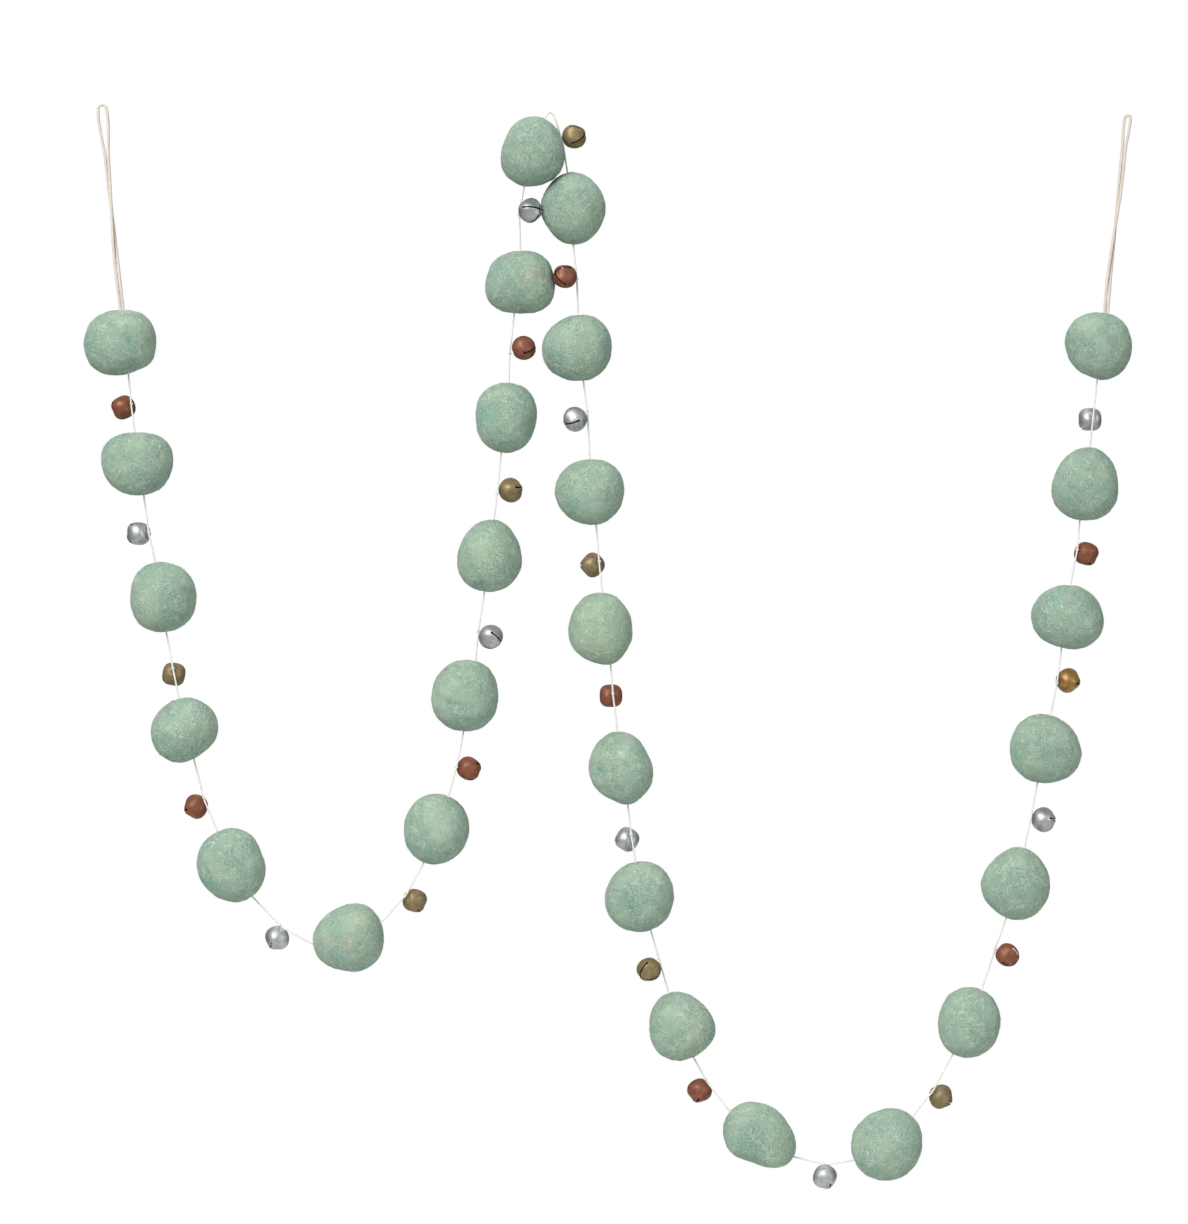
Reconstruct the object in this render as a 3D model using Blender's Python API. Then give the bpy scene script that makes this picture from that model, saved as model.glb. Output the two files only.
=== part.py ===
"""Felt ball garland: 27 hand-rolled felt balls and 26 small jingle bells on one thread, a hanging loop at each end.

It hangs as two swags from a middle hook and its two end loops. Metres, +Z up: the garland runs along +X, +Y points
away from the viewer, and the origin is the top of the thread where it passes over the middle hook. Sizes below are
in millimetres and are scaled once, when a mesh or a curve is made.
"""

import math
from typing import NamedTuple

import bmesh
import bpy
from mathutils import Matrix, Vector

MM = 0.001

# Thread, loop cord and the holes they run through
THREAD_D = 0.8
CORD_D = 1.2
LEG_SPACING = 1.5
LEG_TURNS = 0.75
THREAD_BORE_R = 0.82
CORD_BORE_R = 2.0
CORD_SOCKET = 5.5
END_GAP = 0.35

# Felt balls
BALL_DEPTH_SHARE = 0.97
BALL_FULLNESS = 2.15
BALL_LUMP = 0.02
POINT_WIDTH = math.radians(20)
BALL_SEGMENTS = 12
BALL_BANDS = 8
RIM_STEPS = 8

# Jingle bells
BELL_R = 5.45
BELL_WALL = 0.5
SLIT_W = 0.75
PETAL_CORNER = 0.062
FOLD_START = math.radians(45)
DOME_RINGS = (32, 62, 90)
LINING_RINGS = (50, 90)
PETAL_ROWS = (100, 135, 168)
STRAP_W = 1.2
STRAP_WALL = 0.45
STRAP_SPAN = 2.7
STRAP_OPENING = 2.0
STRAP_ROOT = 0.4
STRAP_SINK = 0.15
STRAP_STEPS = 4
RING_REACH = BELL_R + 1.05


class Ball(NamedTuple):
    """Middle of a ball, its outline radii read every 45 degrees, one soft point or flat, and where the thread is."""

    x: float
    z: float
    away: float
    right: float
    upper_right: float
    top: float
    upper_left: float
    left: float
    lower_left: float
    bottom: float
    lower_right: float
    point_at: float
    point: float
    thread_in: float
    thread_out: float


BALLS = (
    Ball(-195.2, -104.6, 0.4, 15.9, 16.7, 14.9, 15.7, 16.3, 16.4, 14.5, 14.7, 333, 1.3, 87, 285),
    Ball(-187.2, -159.4, -0.3, 15.8, 16.3, 14.1, 16.4, 16.4, 15.1, 14.4, 15.0, 10, 0.1, 95, 281),
    Ball(-175.7, -219.8, 0.5, 14.9, 15.4, 15.9, 16.0, 14.8, 15.9, 15.9, 15.6, 40, 0.2, 103, 275),
    Ball(-166.2, -280.0, -0.4, 15.2, 15.5, 14.5, 14.1, 14.9, 15.3, 14.5, 13.3, 340, 0.3, 99, 289),
    Ball(-144.7, -341.0, 0.2, 15.3, 15.5, 16.5, 16.1, 15.7, 15.4, 16.8, 16.9, 22, -0.6, 113, 303),
    Ball(-91.8, -374.0, 0.6, 16.0, 16.3, 15.0, 14.2, 16.1, 15.9, 15.3, 16.6, 60, 0.3, 191, 24),
    Ball(-52.0, -324.7, -0.5, 14.9, 15.3, 15.9, 15.1, 14.6, 15.8, 16.1, 15.2, 28, 0.3, 250, 69),
    Ball(-39.0, -264.4, 0.3, 15.1, 16.3, 16.2, 15.5, 15.1, 15.9, 16.2, 16.1, 200, 0.3, 268, 73),
    Ball(-27.8, -200.8, -0.2, 14.5, 14.6, 16.0, 14.4, 14.6, 16.4, 16.7, 15.9, 72, 0.4, 262, 83),
    Ball(-20.3, -138.4, 1.0, 13.8, 15.6, 15.9, 15.4, 13.8, 15.3, 15.9, 14.7, 230, -0.2, 262, 86),
    Ball(-13.9, -76.8, 3.0, 15.7, 15.6, 14.2, 15.0, 15.7, 16.2, 14.0, 16.2, 205, 0.3, 259, 90),
    Ball(-8.0, -17.9, -3.0, 14.4, 14.6, 15.3, 14.2, 14.3, 16.7, 15.9, 15.6, 25, -0.3, 256, 71),
    Ball(10.1, -43.6, 2.4, 14.7, 15.1, 16.3, 15.1, 14.8, 14.5, 16.2, 14.9, 108, 0.3, 99, 270),
    Ball(11.8, -106.9, 1.2, 15.8, 16.3, 15.0, 14.8, 15.9, 15.5, 14.8, 15.6, 285, 0.1, 88, 281),
    Ball(17.6, -172.1, -0.4, 15.6, 15.9, 14.8, 15.4, 15.8, 15.0, 14.6, 15.2, 283, 0.5, 90, 281),
    Ball(22.4, -234.1, 0.3, 14.5, 15.3, 16.5, 15.2, 14.5, 15.2, 15.4, 15.5, 286, 1.4, 87, 286),
    Ball(31.6, -297.2, -0.5, 14.5, 14.4, 16.6, 15.4, 14.5, 14.4, 14.9, 15.9, 281, 1.6, 95, 281),
    Ball(40.0, -355.5, 0.4, 15.7, 16.2, 15.9, 15.1, 15.5, 16.1, 16.0, 15.9, 60, 0.2, 96, 289),
    Ball(59.2, -414.2, -0.3, 14.9, 13.9, 15.4, 16.0, 14.7, 15.7, 15.2, 14.6, 350, 0.4, 111, 291),
    Ball(94.2, -463.2, 0.5, 15.8, 13.5, 14.4, 16.4, 16.2, 14.1, 13.5, 18.3, 325, 0.2, 142, 327),
    Ball(152.1, -467.8, -0.6, 15.9, 17.2, 16.3, 15.3, 15.8, 16.5, 15.8, 15.6, 163, 0.6, 205, 48),
    Ball(189.5, -412.3, 0.3, 14.0, 15.1, 15.6, 14.9, 14.0, 15.7, 16.0, 14.8, 150, -0.3, 243, 69),
    Ball(210.4, -349.6, -0.2, 15.5, 15.8, 16.2, 14.4, 15.5, 15.2, 16.3, 16.1, 79, 0.3, 255, 76),
    Ball(224.0, -288.4, 0.5, 15.8, 14.9, 15.6, 16.2, 16.0, 16.2, 15.6, 16.5, 345, 0.3, 257, 81),
    Ball(234.0, -228.7, -0.4, 15.9, 14.9, 14.4, 15.5, 16.4, 15.0, 14.4, 16.3, 340, 0.3, 259, 85),
    Ball(241.9, -168.4, 0.2, 14.8, 15.8, 16.1, 14.5, 14.6, 16.5, 16.6, 16.7, 80, 0.5, 262, 82),
    Ball(248.0, -106.0, -0.3, 15.0, 15.3, 15.2, 15.8, 14.8, 14.1, 14.6, 15.6, 282, 0.7, 268, 77),
)


class Bell(NamedTuple):
    """Where the thread passes the strap, where the bell's middle hangs beside it, and the turn of its slits."""

    finish: str
    x: float
    z: float
    away: float
    body_x: float
    body_z: float
    in_front: int
    slit_turn: float


COPPER, SILVER, BRASS = "bell_copper", "bell_silver", "bell_brass"

# in_front is 1 where the bell hangs nearer the viewer than the thread, and -1 where it hangs behind it
BELLS = (
    Bell(COPPER, -190.1, -133.2, 0.0, -194.3, -133.5, -1, 67),
    Bell(SILVER, -182.1, -191.3, 0.0, -187.3, -190.9, -1, 37),
    Bell(BRASS, -171.0, -253.1, 0.0, -171.6, -254.8, -1, 24),
    Bell(COPPER, -157.1, -311.6, 0.0, -161.2, -314.8, -1, 86),
    Bell(SILVER, -122.3, -369.0, 0.0, -124.3, -374.4, -1, 85),
    Bell(BRASS, -65.7, -354.7, 0.0, -62.0, -357.6, -1, 66),
    Bell(COPPER, -42.6, -295.8, 0.0, -37.4, -297.5, -1, 34),
    Bell(SILVER, -32.8, -234.4, 0.0, -27.3, -237.7, 1, 25),
    Bell(BRASS, -24.3, -171.8, 0.4, -18.4, -171.2, -1, 11),
    Bell(COPPER, -18.7, -108.2, 1.8, -12.4, -106.8, 1, 55),
    Bell(SILVER, -14.4, -45.5, 0.6, -9.3, -45.0, 1, 17),
    Bell(BRASS, 4.6, -11.9, 4.5, 10.4, -10.9, 1, 65),
    Bell(COPPER, 11.8, -76.5, 0.0, 6.4, -74.8, 1, 54),
    Bell(SILVER, 16.6, -136.5, 0.4, 11.0, -139.2, 1, 13),
    Bell(BRASS, 21.9, -204.6, 0.0, 18.9, -205.1, -1, 84),
    Bell(COPPER, 28.2, -264.6, 0.0, 27.2, -264.6, -1, 40),
    Bell(SILVER, 36.5, -328.1, 0.0, 34.6, -329.9, -1, 1),
    Bell(BRASS, 49.2, -384.6, 0.0, 44.4, -388.2, 1, 47),
    Bell(COPPER, 70.5, -439.1, 0.0, 67.5, -443.7, -1, 26),
    Bell(SILVER, 124.6, -476.7, 0.0, 124.3, -482.7, -1, 27),
    Bell(BRASS, 173.2, -443.2, 0.0, 177.0, -446.6, -1, 6),
    Bell(COPPER, 201.6, -377.9, 0.0, 206.7, -381.8, 1, 49),
    Bell(SILVER, 217.4, -320.1, 0.0, 223.4, -320.7, -1, 13),
    Bell(BRASS, 229.4, -257.6, 0.0, 234.7, -257.6, -1, 83),
    Bell(COPPER, 238.6, -197.3, 0.0, 243.0, -200.0, -1, 38),
    Bell(SILVER, 245.7, -137.8, 0.0, 245.1, -138.9, -1, 50),
)

# Where the thread's depth differs from the ball's: it leaves the top of ball 12 and enters the top of ball 13
THREAD_AWAY_OUT = {12: 1.2}
THREAD_AWAY_IN = {13: 0.6}
HOOK_AFTER_BALL = 12
OVER_THE_HOOK = (Vector((-1.3, -0.9, -0.5)), Vector((0.0, 0.0, 0.0)), Vector((1.1, 0.3, -1.2)), Vector((2.6, 1.2, -4.8)))
BEHIND_BALL_12 = Vector((6.1, 3.9, -18.0))

# Middle line of each loop's two legs, from the ball up to where they part, and the eye above
LEFT_LOOP = (Vector((-196.9, 0.2, -68.7)), Vector((-198.4, 0.0, -52.0)), Vector((-200.0, 0.0, -34.4)),
             Vector((-201.3, 0.0, -19.3)))
LEFT_EYE_TOP = Vector((-203.5, 0.0, 3.6))
LEFT_EYE_W = 4.3
RIGHT_LOOP = (Vector((252.7, 0.0, -76.4)), Vector((255.3, 0.0, -54.5)), Vector((257.4, 0.0, -37.9)),
              Vector((259.7, 0.0, -15.0)))
RIGHT_EYE_TOP = Vector((261.5, 0.0, -1.1))
RIGHT_EYE_W = 2.8
LOOP_STEM = 1.0
LEG_POINTS = 11
EYE_POINTS = 7
EYE_SQUARENESS = 0.8

FINISHES = {
    "felt": ((0.28, 0.45, 0.34, 1), 0.95, 0.0),
    "thread": ((0.75, 0.74, 0.70, 1), 0.85, 0.0),
    "loop_cord": ((0.72, 0.60, 0.50, 1), 0.85, 0.0),
    COPPER: ((0.26, 0.10, 0.06, 1), 0.45, 0.6),
    SILVER: ((0.42, 0.42, 0.42, 1), 0.35, 1.0),
    BRASS: ((0.26, 0.20, 0.09, 1), 0.40, 1.0),
}


def clear_scene():
    for obj in list(bpy.data.objects):
        bpy.data.objects.remove(obj, do_unlink=True)


def make_material(name):
    colour, roughness, metallic = FINISHES[name]
    material = bpy.data.materials.new(name)
    material.use_nodes = True
    shader = material.node_tree.nodes["Principled BSDF"]
    shader.inputs["Base Color"].default_value = colour
    shader.inputs["Roughness"].default_value = roughness
    shader.inputs["Metallic"].default_value = metallic
    return material


def add_object(name, data, finish):
    obj = bpy.data.objects.new(name, data)
    data.materials.append(bpy.data.materials[finish])
    bpy.context.scene.collection.objects.link(obj)
    return obj


def mesh_of(name, points, faces):
    """A mesh in metres from points in millimetres."""
    mesh = bpy.data.meshes.new(name)
    mesh.from_pydata([point * MM for point in points], [], faces)
    mesh.validate()
    return mesh


def turn_between(start, end, share):
    """The unit direction that lies this share of the way from one unit direction to another."""
    angle = start.angle(end)
    return (start * math.sin((1 - share) * angle) + end * math.sin(share * angle)) / math.sin(angle)


def quads(first, second):
    """Faces between two closed rings of point numbers."""
    count = len(first)
    return [(first[i], first[(i + 1) % count], second[(i + 1) % count], second[i]) for i in range(count)]


# Felt balls


def outline_radius(ball, angle):
    """The outline as seen from the front: a smooth curve through the eight radii, with the ball's soft point."""
    radii = (ball.right, ball.upper_right, ball.top, ball.upper_left, ball.left, ball.lower_left, ball.bottom,
             ball.lower_right)
    count = len(radii)
    radius = sum(radii) / count
    for wave in range(1, count // 2 + 1):
        share = 2 / count if wave < count // 2 else 1 / count
        for k, measured in enumerate(radii):
            radius += share * measured * math.cos(wave * (angle - math.tau * k / count))
    off = math.remainder(angle - math.radians(ball.point_at), math.tau)
    return radius + ball.point * math.exp(-(off / POINT_WIDTH) ** 2)


def ball_depth(ball):
    return BALL_DEPTH_SHARE * (ball.right + ball.top + ball.left + ball.bottom) / 4


def ball_surface(ball, number, direction):
    """How far the felt reaches from the ball's middle in a unit direction."""
    angle = math.atan2(direction.z, direction.x)
    across = math.hypot(direction.x, direction.z)
    share = (across / outline_radius(ball, angle)) ** BALL_FULLNESS
    share += (abs(direction.y) / ball_depth(ball)) ** BALL_FULLNESS
    lump = 1 + BALL_LUMP * direction.y * math.sin(2 * angle + number) * across
    return lump * share ** (-1 / BALL_FULLNESS)


def thread_hole(ball, number, angle, away):
    """Where the thread meets the felt, from the ball's middle."""
    middle = Vector((math.cos(math.radians(angle)), 0, math.sin(math.radians(angle))))
    point = middle * outline_radius(ball, math.radians(angle)) + Vector((0, away, 0))
    return point.normalized() * ball_surface(ball, number, point.normalized())


def thread_holes(number):
    """Where the thread enters and leaves a ball, from its middle."""
    ball = BALLS[number - 1]
    entry = thread_hole(ball, number, ball.thread_in, THREAD_AWAY_IN.get(number, 0))
    leaving = thread_hole(ball, number, ball.thread_out, THREAD_AWAY_OUT.get(number, 0))
    return entry, leaving


def mouth_point(ball, number, hole, axis, radial, radius):
    """A point of the hole's rim: it slides along the hole until it lies on the felt."""
    point = hole + radial * radius
    for _ in range(RIM_STEPS):
        outward = point.normalized()
        rise = point.length - ball_surface(ball, number, outward)
        point -= axis * (rise / outward.dot(axis))
    return point


def ball_mesh(number):
    ball = BALLS[number - 1]
    entry, leaving = thread_holes(number)
    axis = (leaving - entry).normalized()
    side = axis.cross(Vector((0, 1, 0))).normalized()
    front = side.cross(axis)
    radials = [side * math.cos(math.tau * i / BALL_SEGMENTS) + front * math.sin(math.tau * i / BALL_SEGMENTS)
               for i in range(BALL_SEGMENTS)]
    wide_end = {1: "in", len(BALLS): "out"}.get(number)
    radius_in = CORD_BORE_R if wide_end == "in" else THREAD_BORE_R
    radius_out = CORD_BORE_R if wide_end == "out" else THREAD_BORE_R
    rings = [[mouth_point(ball, number, entry, axis, radial, radius_in) for radial in radials]]
    for band in range(1, BALL_BANDS):
        share = 2 * band / BALL_BANDS
        ring = []
        for radial in radials:
            if share < 1:
                direction = turn_between(entry.normalized(), radial, share)
            else:
                direction = turn_between(leaving.normalized(), radial, 2 - share)
            ring.append(direction * ball_surface(ball, number, direction))
        rings.append(ring)
    rings.append([mouth_point(ball, number, leaving, axis, radial, radius_out) for radial in radials])
    # The cord's socket is wider than the thread's hole and stops short of the ball's middle.
    if wide_end == "in":
        floor = entry + axis * CORD_SOCKET
        rings.append([floor + radial * THREAD_BORE_R for radial in radials])
        rings.append([floor + radial * CORD_BORE_R for radial in radials])
    if wide_end == "out":
        floor = leaving - axis * CORD_SOCKET
        rings.append([floor + radial * CORD_BORE_R for radial in radials])
        rings.append([floor + radial * THREAD_BORE_R for radial in radials])
    middle = Vector((ball.x, ball.away, ball.z))
    points = [middle + point for ring in rings for point in ring]
    numbers = [range(k * BALL_SEGMENTS, (k + 1) * BALL_SEGMENTS) for k in range(len(rings))]
    faces = []
    for k, ring in enumerate(numbers):
        faces += quads(ring, numbers[(k + 1) % len(rings)])
    return closed_mesh(f"felt_ball_{number:02d}", points, faces)


def closed_mesh(name, points, faces):
    """A mesh with its faces turned out."""
    mesh = mesh_of(name, points, faces)
    work = bmesh.new()
    work.from_mesh(mesh)
    bmesh.ops.recalc_face_normals(work, faces=work.faces)
    work.to_mesh(mesh)
    work.free()
    return mesh


def build_balls():
    for number in range(1, len(BALLS) + 1):
        obj = add_object(f"felt_ball_{number:02d}", ball_mesh(number), "felt")
        obj.data.shade_smooth()


# Bells: +Z of a bell's own frame points from its middle to its strap, whose opening runs along X


def petal_radius(polar, from_slit):
    """The bell's outer radius: a round crown, and below it four folded petals with a soft corner at each slit."""
    share = max(polar - FOLD_START, 0.0) / (math.pi - FOLD_START)
    folded = math.sin(math.pi * share)
    return BELL_R * (1 + PETAL_CORNER * folded * math.cos(4 * from_slit))


def bell_point(polar, azimuth, slit_turn, inset):
    radius = petal_radius(polar, azimuth - slit_turn) - inset
    return Vector((radius * math.sin(polar) * math.cos(azimuth), radius * math.sin(polar) * math.sin(azimuth),
                   radius * math.cos(polar)))


def shell_columns(slit_turn, between):
    """Azimuths round the dome: one at each slit and some between."""
    count = 4 * (between + 1)
    return [slit_turn + math.tau * k / count for k in range(count)]


def bell_body(slit_turn):
    """Points and faces of the hollow body: a dome, then four petals parted by slits that run from equator to pole."""
    points, faces = [], []

    def add(point):
        points.append(point)
        return len(points) - 1

    def half(polars, between, inset, tip):
        """The dome's rings and each petal's columns, for the outside or the inside."""
        columns = shell_columns(slit_turn, between)
        crown = add(Vector((0, 0, BELL_R - inset)))
        rings = [[add(bell_point(polar, azimuth, slit_turn, inset)) for azimuth in columns] for polar in polars]
        dome = [(crown, rings[0][i], rings[0][(i + 1) % len(columns)]) for i in range(len(columns))]
        for upper, lower in zip(rings, rings[1:]):
            dome += quads(upper, lower)
        petals = []
        for petal in range(4):
            start = petal * (between + 1)
            rows = [[rings[-1][(start + k) % len(columns)] for k in range(between + 2)]]
            for polar in tip:
                spare = SLIT_W / 2 / (BELL_R * math.sin(polar))
                first = slit_turn + math.tau / 4 * petal + spare
                last = slit_turn + math.tau / 4 * (petal + 1) - spare
                rows.append([add(bell_point(polar, first + (last - first) * k / (between + 1), slit_turn, inset))
                             for k in range(between + 2)])
            petals.append(rows)
            for upper, lower in zip(rows, rows[1:]):
                dome += [(upper[k], lower[k], lower[k + 1], upper[k + 1]) for k in range(between + 1)]
        return dome, petals

    below = [math.radians(angle) for angle in PETAL_ROWS]
    outside, outer_petals = half([math.radians(angle) for angle in DOME_RINGS], 2, 0.0, below)
    inside, inner_petals = half([math.radians(angle) for angle in LINING_RINGS], 1, BELL_WALL, below)
    faces += outside
    faces += [tuple(reversed(face)) for face in inside]
    for outer, inner in zip(outer_petals, inner_petals):
        for k in range(len(outer) - 1):
            faces.append((outer[k][0], inner[k][0], inner[k + 1][0], outer[k + 1][0]))
            faces.append((outer[k][-1], outer[k + 1][-1], inner[k + 1][-1], inner[k][-1]))
        faces.append(tuple(outer[-1]) + tuple(reversed(inner[-1])))
    return points, faces


def strap_points():
    """The strap's two arches, seen along its opening, from one foot to the other."""
    inner, outer = [], []
    foot = BELL_R - STRAP_ROOT
    for k in range(STRAP_STEPS + 1):
        angle = math.pi * k / STRAP_STEPS
        across, rise = math.cos(angle), math.sin(angle)
        inner.append((across * STRAP_SPAN / 2, BELL_R - STRAP_SINK + (STRAP_OPENING + STRAP_SINK) * rise))
        outer.append((across * (STRAP_SPAN / 2 + STRAP_WALL), BELL_R - STRAP_SINK
                      + (STRAP_OPENING + STRAP_SINK + STRAP_WALL) * rise))
    inner = [(inner[0][0], foot)] + inner + [(inner[-1][0], foot)]
    outer = [(outer[0][0], foot)] + outer + [(outer[-1][0], foot)]
    return inner, outer


def strap_mesh(name):
    inner, outer = strap_points()
    count = len(inner)
    points = []
    for x in (-STRAP_W / 2, STRAP_W / 2):
        points += [Vector((x, y, z)) for y, z in outer]
        points += [Vector((x, y, z)) for y, z in inner]
    faces = []
    for k in range(count - 1):
        near_outer, near_inner = k, count + k
        far_outer, far_inner = 2 * count + k, 3 * count + k
        faces.append((near_outer, near_outer + 1, near_inner + 1, near_inner))
        faces.append((far_outer, far_outer + 1, far_inner + 1, far_inner))
        faces.append((near_outer, near_outer + 1, far_outer + 1, far_outer))
        faces.append((near_inner, near_inner + 1, far_inner + 1, far_inner))
    for k in (0, count - 1):
        faces.append((k, count + k, 3 * count + k, 2 * count + k))
    return closed_mesh(name, points, faces)


def bell_placement(number):
    """The bell's own frame in the garland's: its middle, and axes set by the shank and by the thread."""
    bell = BELLS[number - 1]
    ring = Vector((bell.x, bell.away, bell.z))
    flat = Vector((bell.x - bell.body_x, 0, bell.z - bell.body_z))
    depth = math.sqrt(max(RING_REACH ** 2 - flat.length_squared, 0))
    shank = (flat + Vector((0, bell.in_front * depth, 0))).normalized()
    before, after = thread_beside(number)
    run = after - before
    opening = (run - shank * run.dot(shank)).normalized()
    turn = Matrix((opening, shank.cross(opening), shank)).transposed().to_4x4()
    return Matrix.Translation(ring - shank * RING_REACH) @ turn


def build_bells():
    for number, bell in enumerate(BELLS, 1):
        name = f"bell_{number:02d}"
        points, faces = bell_body(math.radians(bell.slit_turn))
        obj = add_object(name, closed_mesh(name, points, faces), bell.finish)
        strap = add_object(f"strap_{number:02d}", strap_mesh(f"strap_{number:02d}"), bell.finish)
        strap.hide_render = True
        strap.display_type = "WIRE"
        union = obj.modifiers.new("strap", "BOOLEAN")
        union.operation = "UNION"
        union.object = strap
        placement = bell_placement(number)
        placement.translation *= MM
        obj.matrix_world = placement
        strap.matrix_world = placement
        obj.data.shade_smooth()
        obj.data.set_sharp_from_angle(angle=math.radians(40))


# Thread and loops


def ball_middle(number):
    ball = BALLS[number - 1]
    return Vector((ball.x, ball.away, ball.z))


def ring_point(number):
    bell = BELLS[number - 1]
    return Vector((bell.x, bell.away, bell.z))


def thread_beside(number):
    """The thread's points just before and after a bell's strap."""
    before = ball_middle(number) + thread_holes(number)[1]
    after = ball_middle(number + 1) + thread_holes(number + 1)[0]
    if number == HOOK_AFTER_BALL:
        return OVER_THE_HOOK[-1], BEHIND_BALL_12
    return before, after


def thread_route():
    points = []
    for number in range(1, len(BALLS) + 1):
        entry, leaving = (ball_middle(number) + hole for hole in thread_holes(number))
        axis = (leaving - entry).normalized()
        if number == 1:
            entry += axis * (CORD_SOCKET + END_GAP)
        if number == len(BALLS):
            leaving -= axis * (CORD_SOCKET + END_GAP)
        points += [entry, leaving]
        if number == HOOK_AFTER_BALL:
            points += list(OVER_THE_HOOK)
        if number < len(BALLS):
            points.append(ring_point(number))
        if number == HOOK_AFTER_BALL:
            points.append(BEHIND_BALL_12)
    return points


def smooth_at(points, share):
    """A point on the smooth curve through these points, at a share of the way through them."""
    place = share * (len(points) - 1)
    k = min(int(place), len(points) - 2)
    t = place - k
    before = points[k - 1] if k > 0 else 2 * points[0] - points[1]
    after = points[k + 2] if k + 2 < len(points) else 2 * points[-1] - points[-2]
    slope_in = (points[k + 1] - before) / 2
    slope_out = (after - points[k]) / 2
    rise = 3 * t ** 2 - 2 * t ** 3
    return (points[k] * (1 - rise) + points[k + 1] * rise + slope_in * (t - 2 * t ** 2 + t ** 3)
            + slope_out * (t ** 3 - t ** 2))


def loop_route(number, hole, inward, middles, eye_top, eye_w):
    """One cord: up one leg, round the eye and down the other leg, the two legs turning gently about each other."""
    mouth = ball_middle(number) + hole
    socket = mouth + inward * (CORD_SOCKET - END_GAP)
    line = [socket, mouth - inward * LOOP_STEM] + list(middles)
    away = Vector((0, 1, 0))
    side = (middles[-1] - middles[-2]).cross(away).normalized()
    legs = ([], [])
    for k in range(LEG_POINTS):
        share = k / (LEG_POINTS - 1)
        middle = smooth_at(line, share)
        turned = math.tau * LEG_TURNS * (1 - share)
        across = side * math.cos(turned) + away * math.sin(turned)
        legs[0].append(middle + across * (LEG_SPACING / 2))
        legs[1].append(middle - across * (LEG_SPACING / 2))
    base = middles[-1]
    rise = eye_top - base
    eyes = ([], [])
    for k in range(1, EYE_POINTS + 1):
        angle = math.pi * k / (EYE_POINTS + 1)
        opened = (math.sin(angle) * math.sin(angle / 2) ** 2 / 0.65) ** EYE_SQUARENESS
        half = side * (LEG_SPACING / 2 * (1 - opened) + eye_w / 2 * opened)
        middle = base + rise * (1 - math.cos(angle)) / 2
        eyes[0].append(middle + half)
        eyes[1].append(middle - half)
    return legs[0] + eyes[0] + [eye_top] + list(reversed(legs[1] + eyes[1]))


def add_tube(name, route, diameter, finish):
    curve = bpy.data.curves.new(name, "CURVE")
    curve.dimensions = "3D"
    curve.bevel_depth = diameter / 2 * MM
    curve.bevel_resolution = 2
    curve.use_fill_caps = True
    spline = curve.splines.new("POLY")
    spline.points.add(len(route) - 1)
    for slot, point in zip(spline.points, route):
        slot.co = (*(point * MM), 1)
    return add_object(name, curve, finish)


def build_cords():
    add_tube("thread", thread_route(), THREAD_D, "thread")
    first_in, first_out = thread_holes(1)
    last_in, last_out = thread_holes(len(BALLS))
    down = (first_out - first_in).normalized()
    add_tube("left_loop", loop_route(1, first_in, down, LEFT_LOOP, LEFT_EYE_TOP, LEFT_EYE_W), CORD_D, "loop_cord")
    back = (last_in - last_out).normalized()
    add_tube("right_loop", loop_route(len(BALLS), last_out, back, RIGHT_LOOP, RIGHT_EYE_TOP, RIGHT_EYE_W), CORD_D,
             "loop_cord")


def main():
    clear_scene()
    for name in FINISHES:
        make_material(name)
    build_balls()
    build_bells()
    build_cords()


main()
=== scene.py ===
"""Looks of the felt ball garland: felted wool balls, jingle bells in three finishes, thread and cord loops.

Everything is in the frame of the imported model, in metres: +X runs along the wall to the right, +Y points away
from the viewer and +Z is up. The tables are in millimetres, and MM scales them.
"""

import math
from typing import NamedTuple

import bmesh
import bpy
import numpy as np
from mathutils import Matrix, Quaternion, Vector
from mathutils.bvhtree import BVHTree


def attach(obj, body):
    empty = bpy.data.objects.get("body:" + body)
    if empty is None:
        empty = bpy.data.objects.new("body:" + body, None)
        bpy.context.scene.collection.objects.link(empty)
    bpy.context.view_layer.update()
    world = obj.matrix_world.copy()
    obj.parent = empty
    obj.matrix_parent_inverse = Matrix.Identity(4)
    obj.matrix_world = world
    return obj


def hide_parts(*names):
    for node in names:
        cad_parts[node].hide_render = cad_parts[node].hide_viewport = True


MM = 0.001
BODY = "root"

# Camera: the photograph is square on, and this much of the garland's plane fills its height
VIEW_HEIGHT = 0.5545
VIEW_MIDDLE = Vector((0.0195, 0.0, -0.2265))
LENS_MM = 100
SENSOR_MM = 36



class Lamp(NamedTuple):
    """A square soft box aimed at the middle of the view, in metres and watts."""

    name: str
    place: tuple
    side: float
    watts: float
    colour: tuple


# Studio
LAMPS = (
    Lamp("key", (-1.0, -1.6, 0.9), 1.3, 8.6, (1.0, 0.985, 0.965)),
    Lamp("fill", (1.3, -1.2, -0.1), 1.2, 1.7, (0.97, 0.99, 1.0)),
    Lamp("top", (0.1, 0.3, 1.0), 1.0, 1.0, (1.0, 1.0, 1.0)),
)
BEAM = math.radians(70)
ROOM_LIGHT = 0.5
ROOM_BELOW = (0.42, (0.07, 0.075, 0.075, 1))
ROOM_ABOVE = (0.9, (1.0, 1.0, 1.0, 1))
FLOOR_Z = -0.75
FLOOR_SIDE = 2.4

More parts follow.
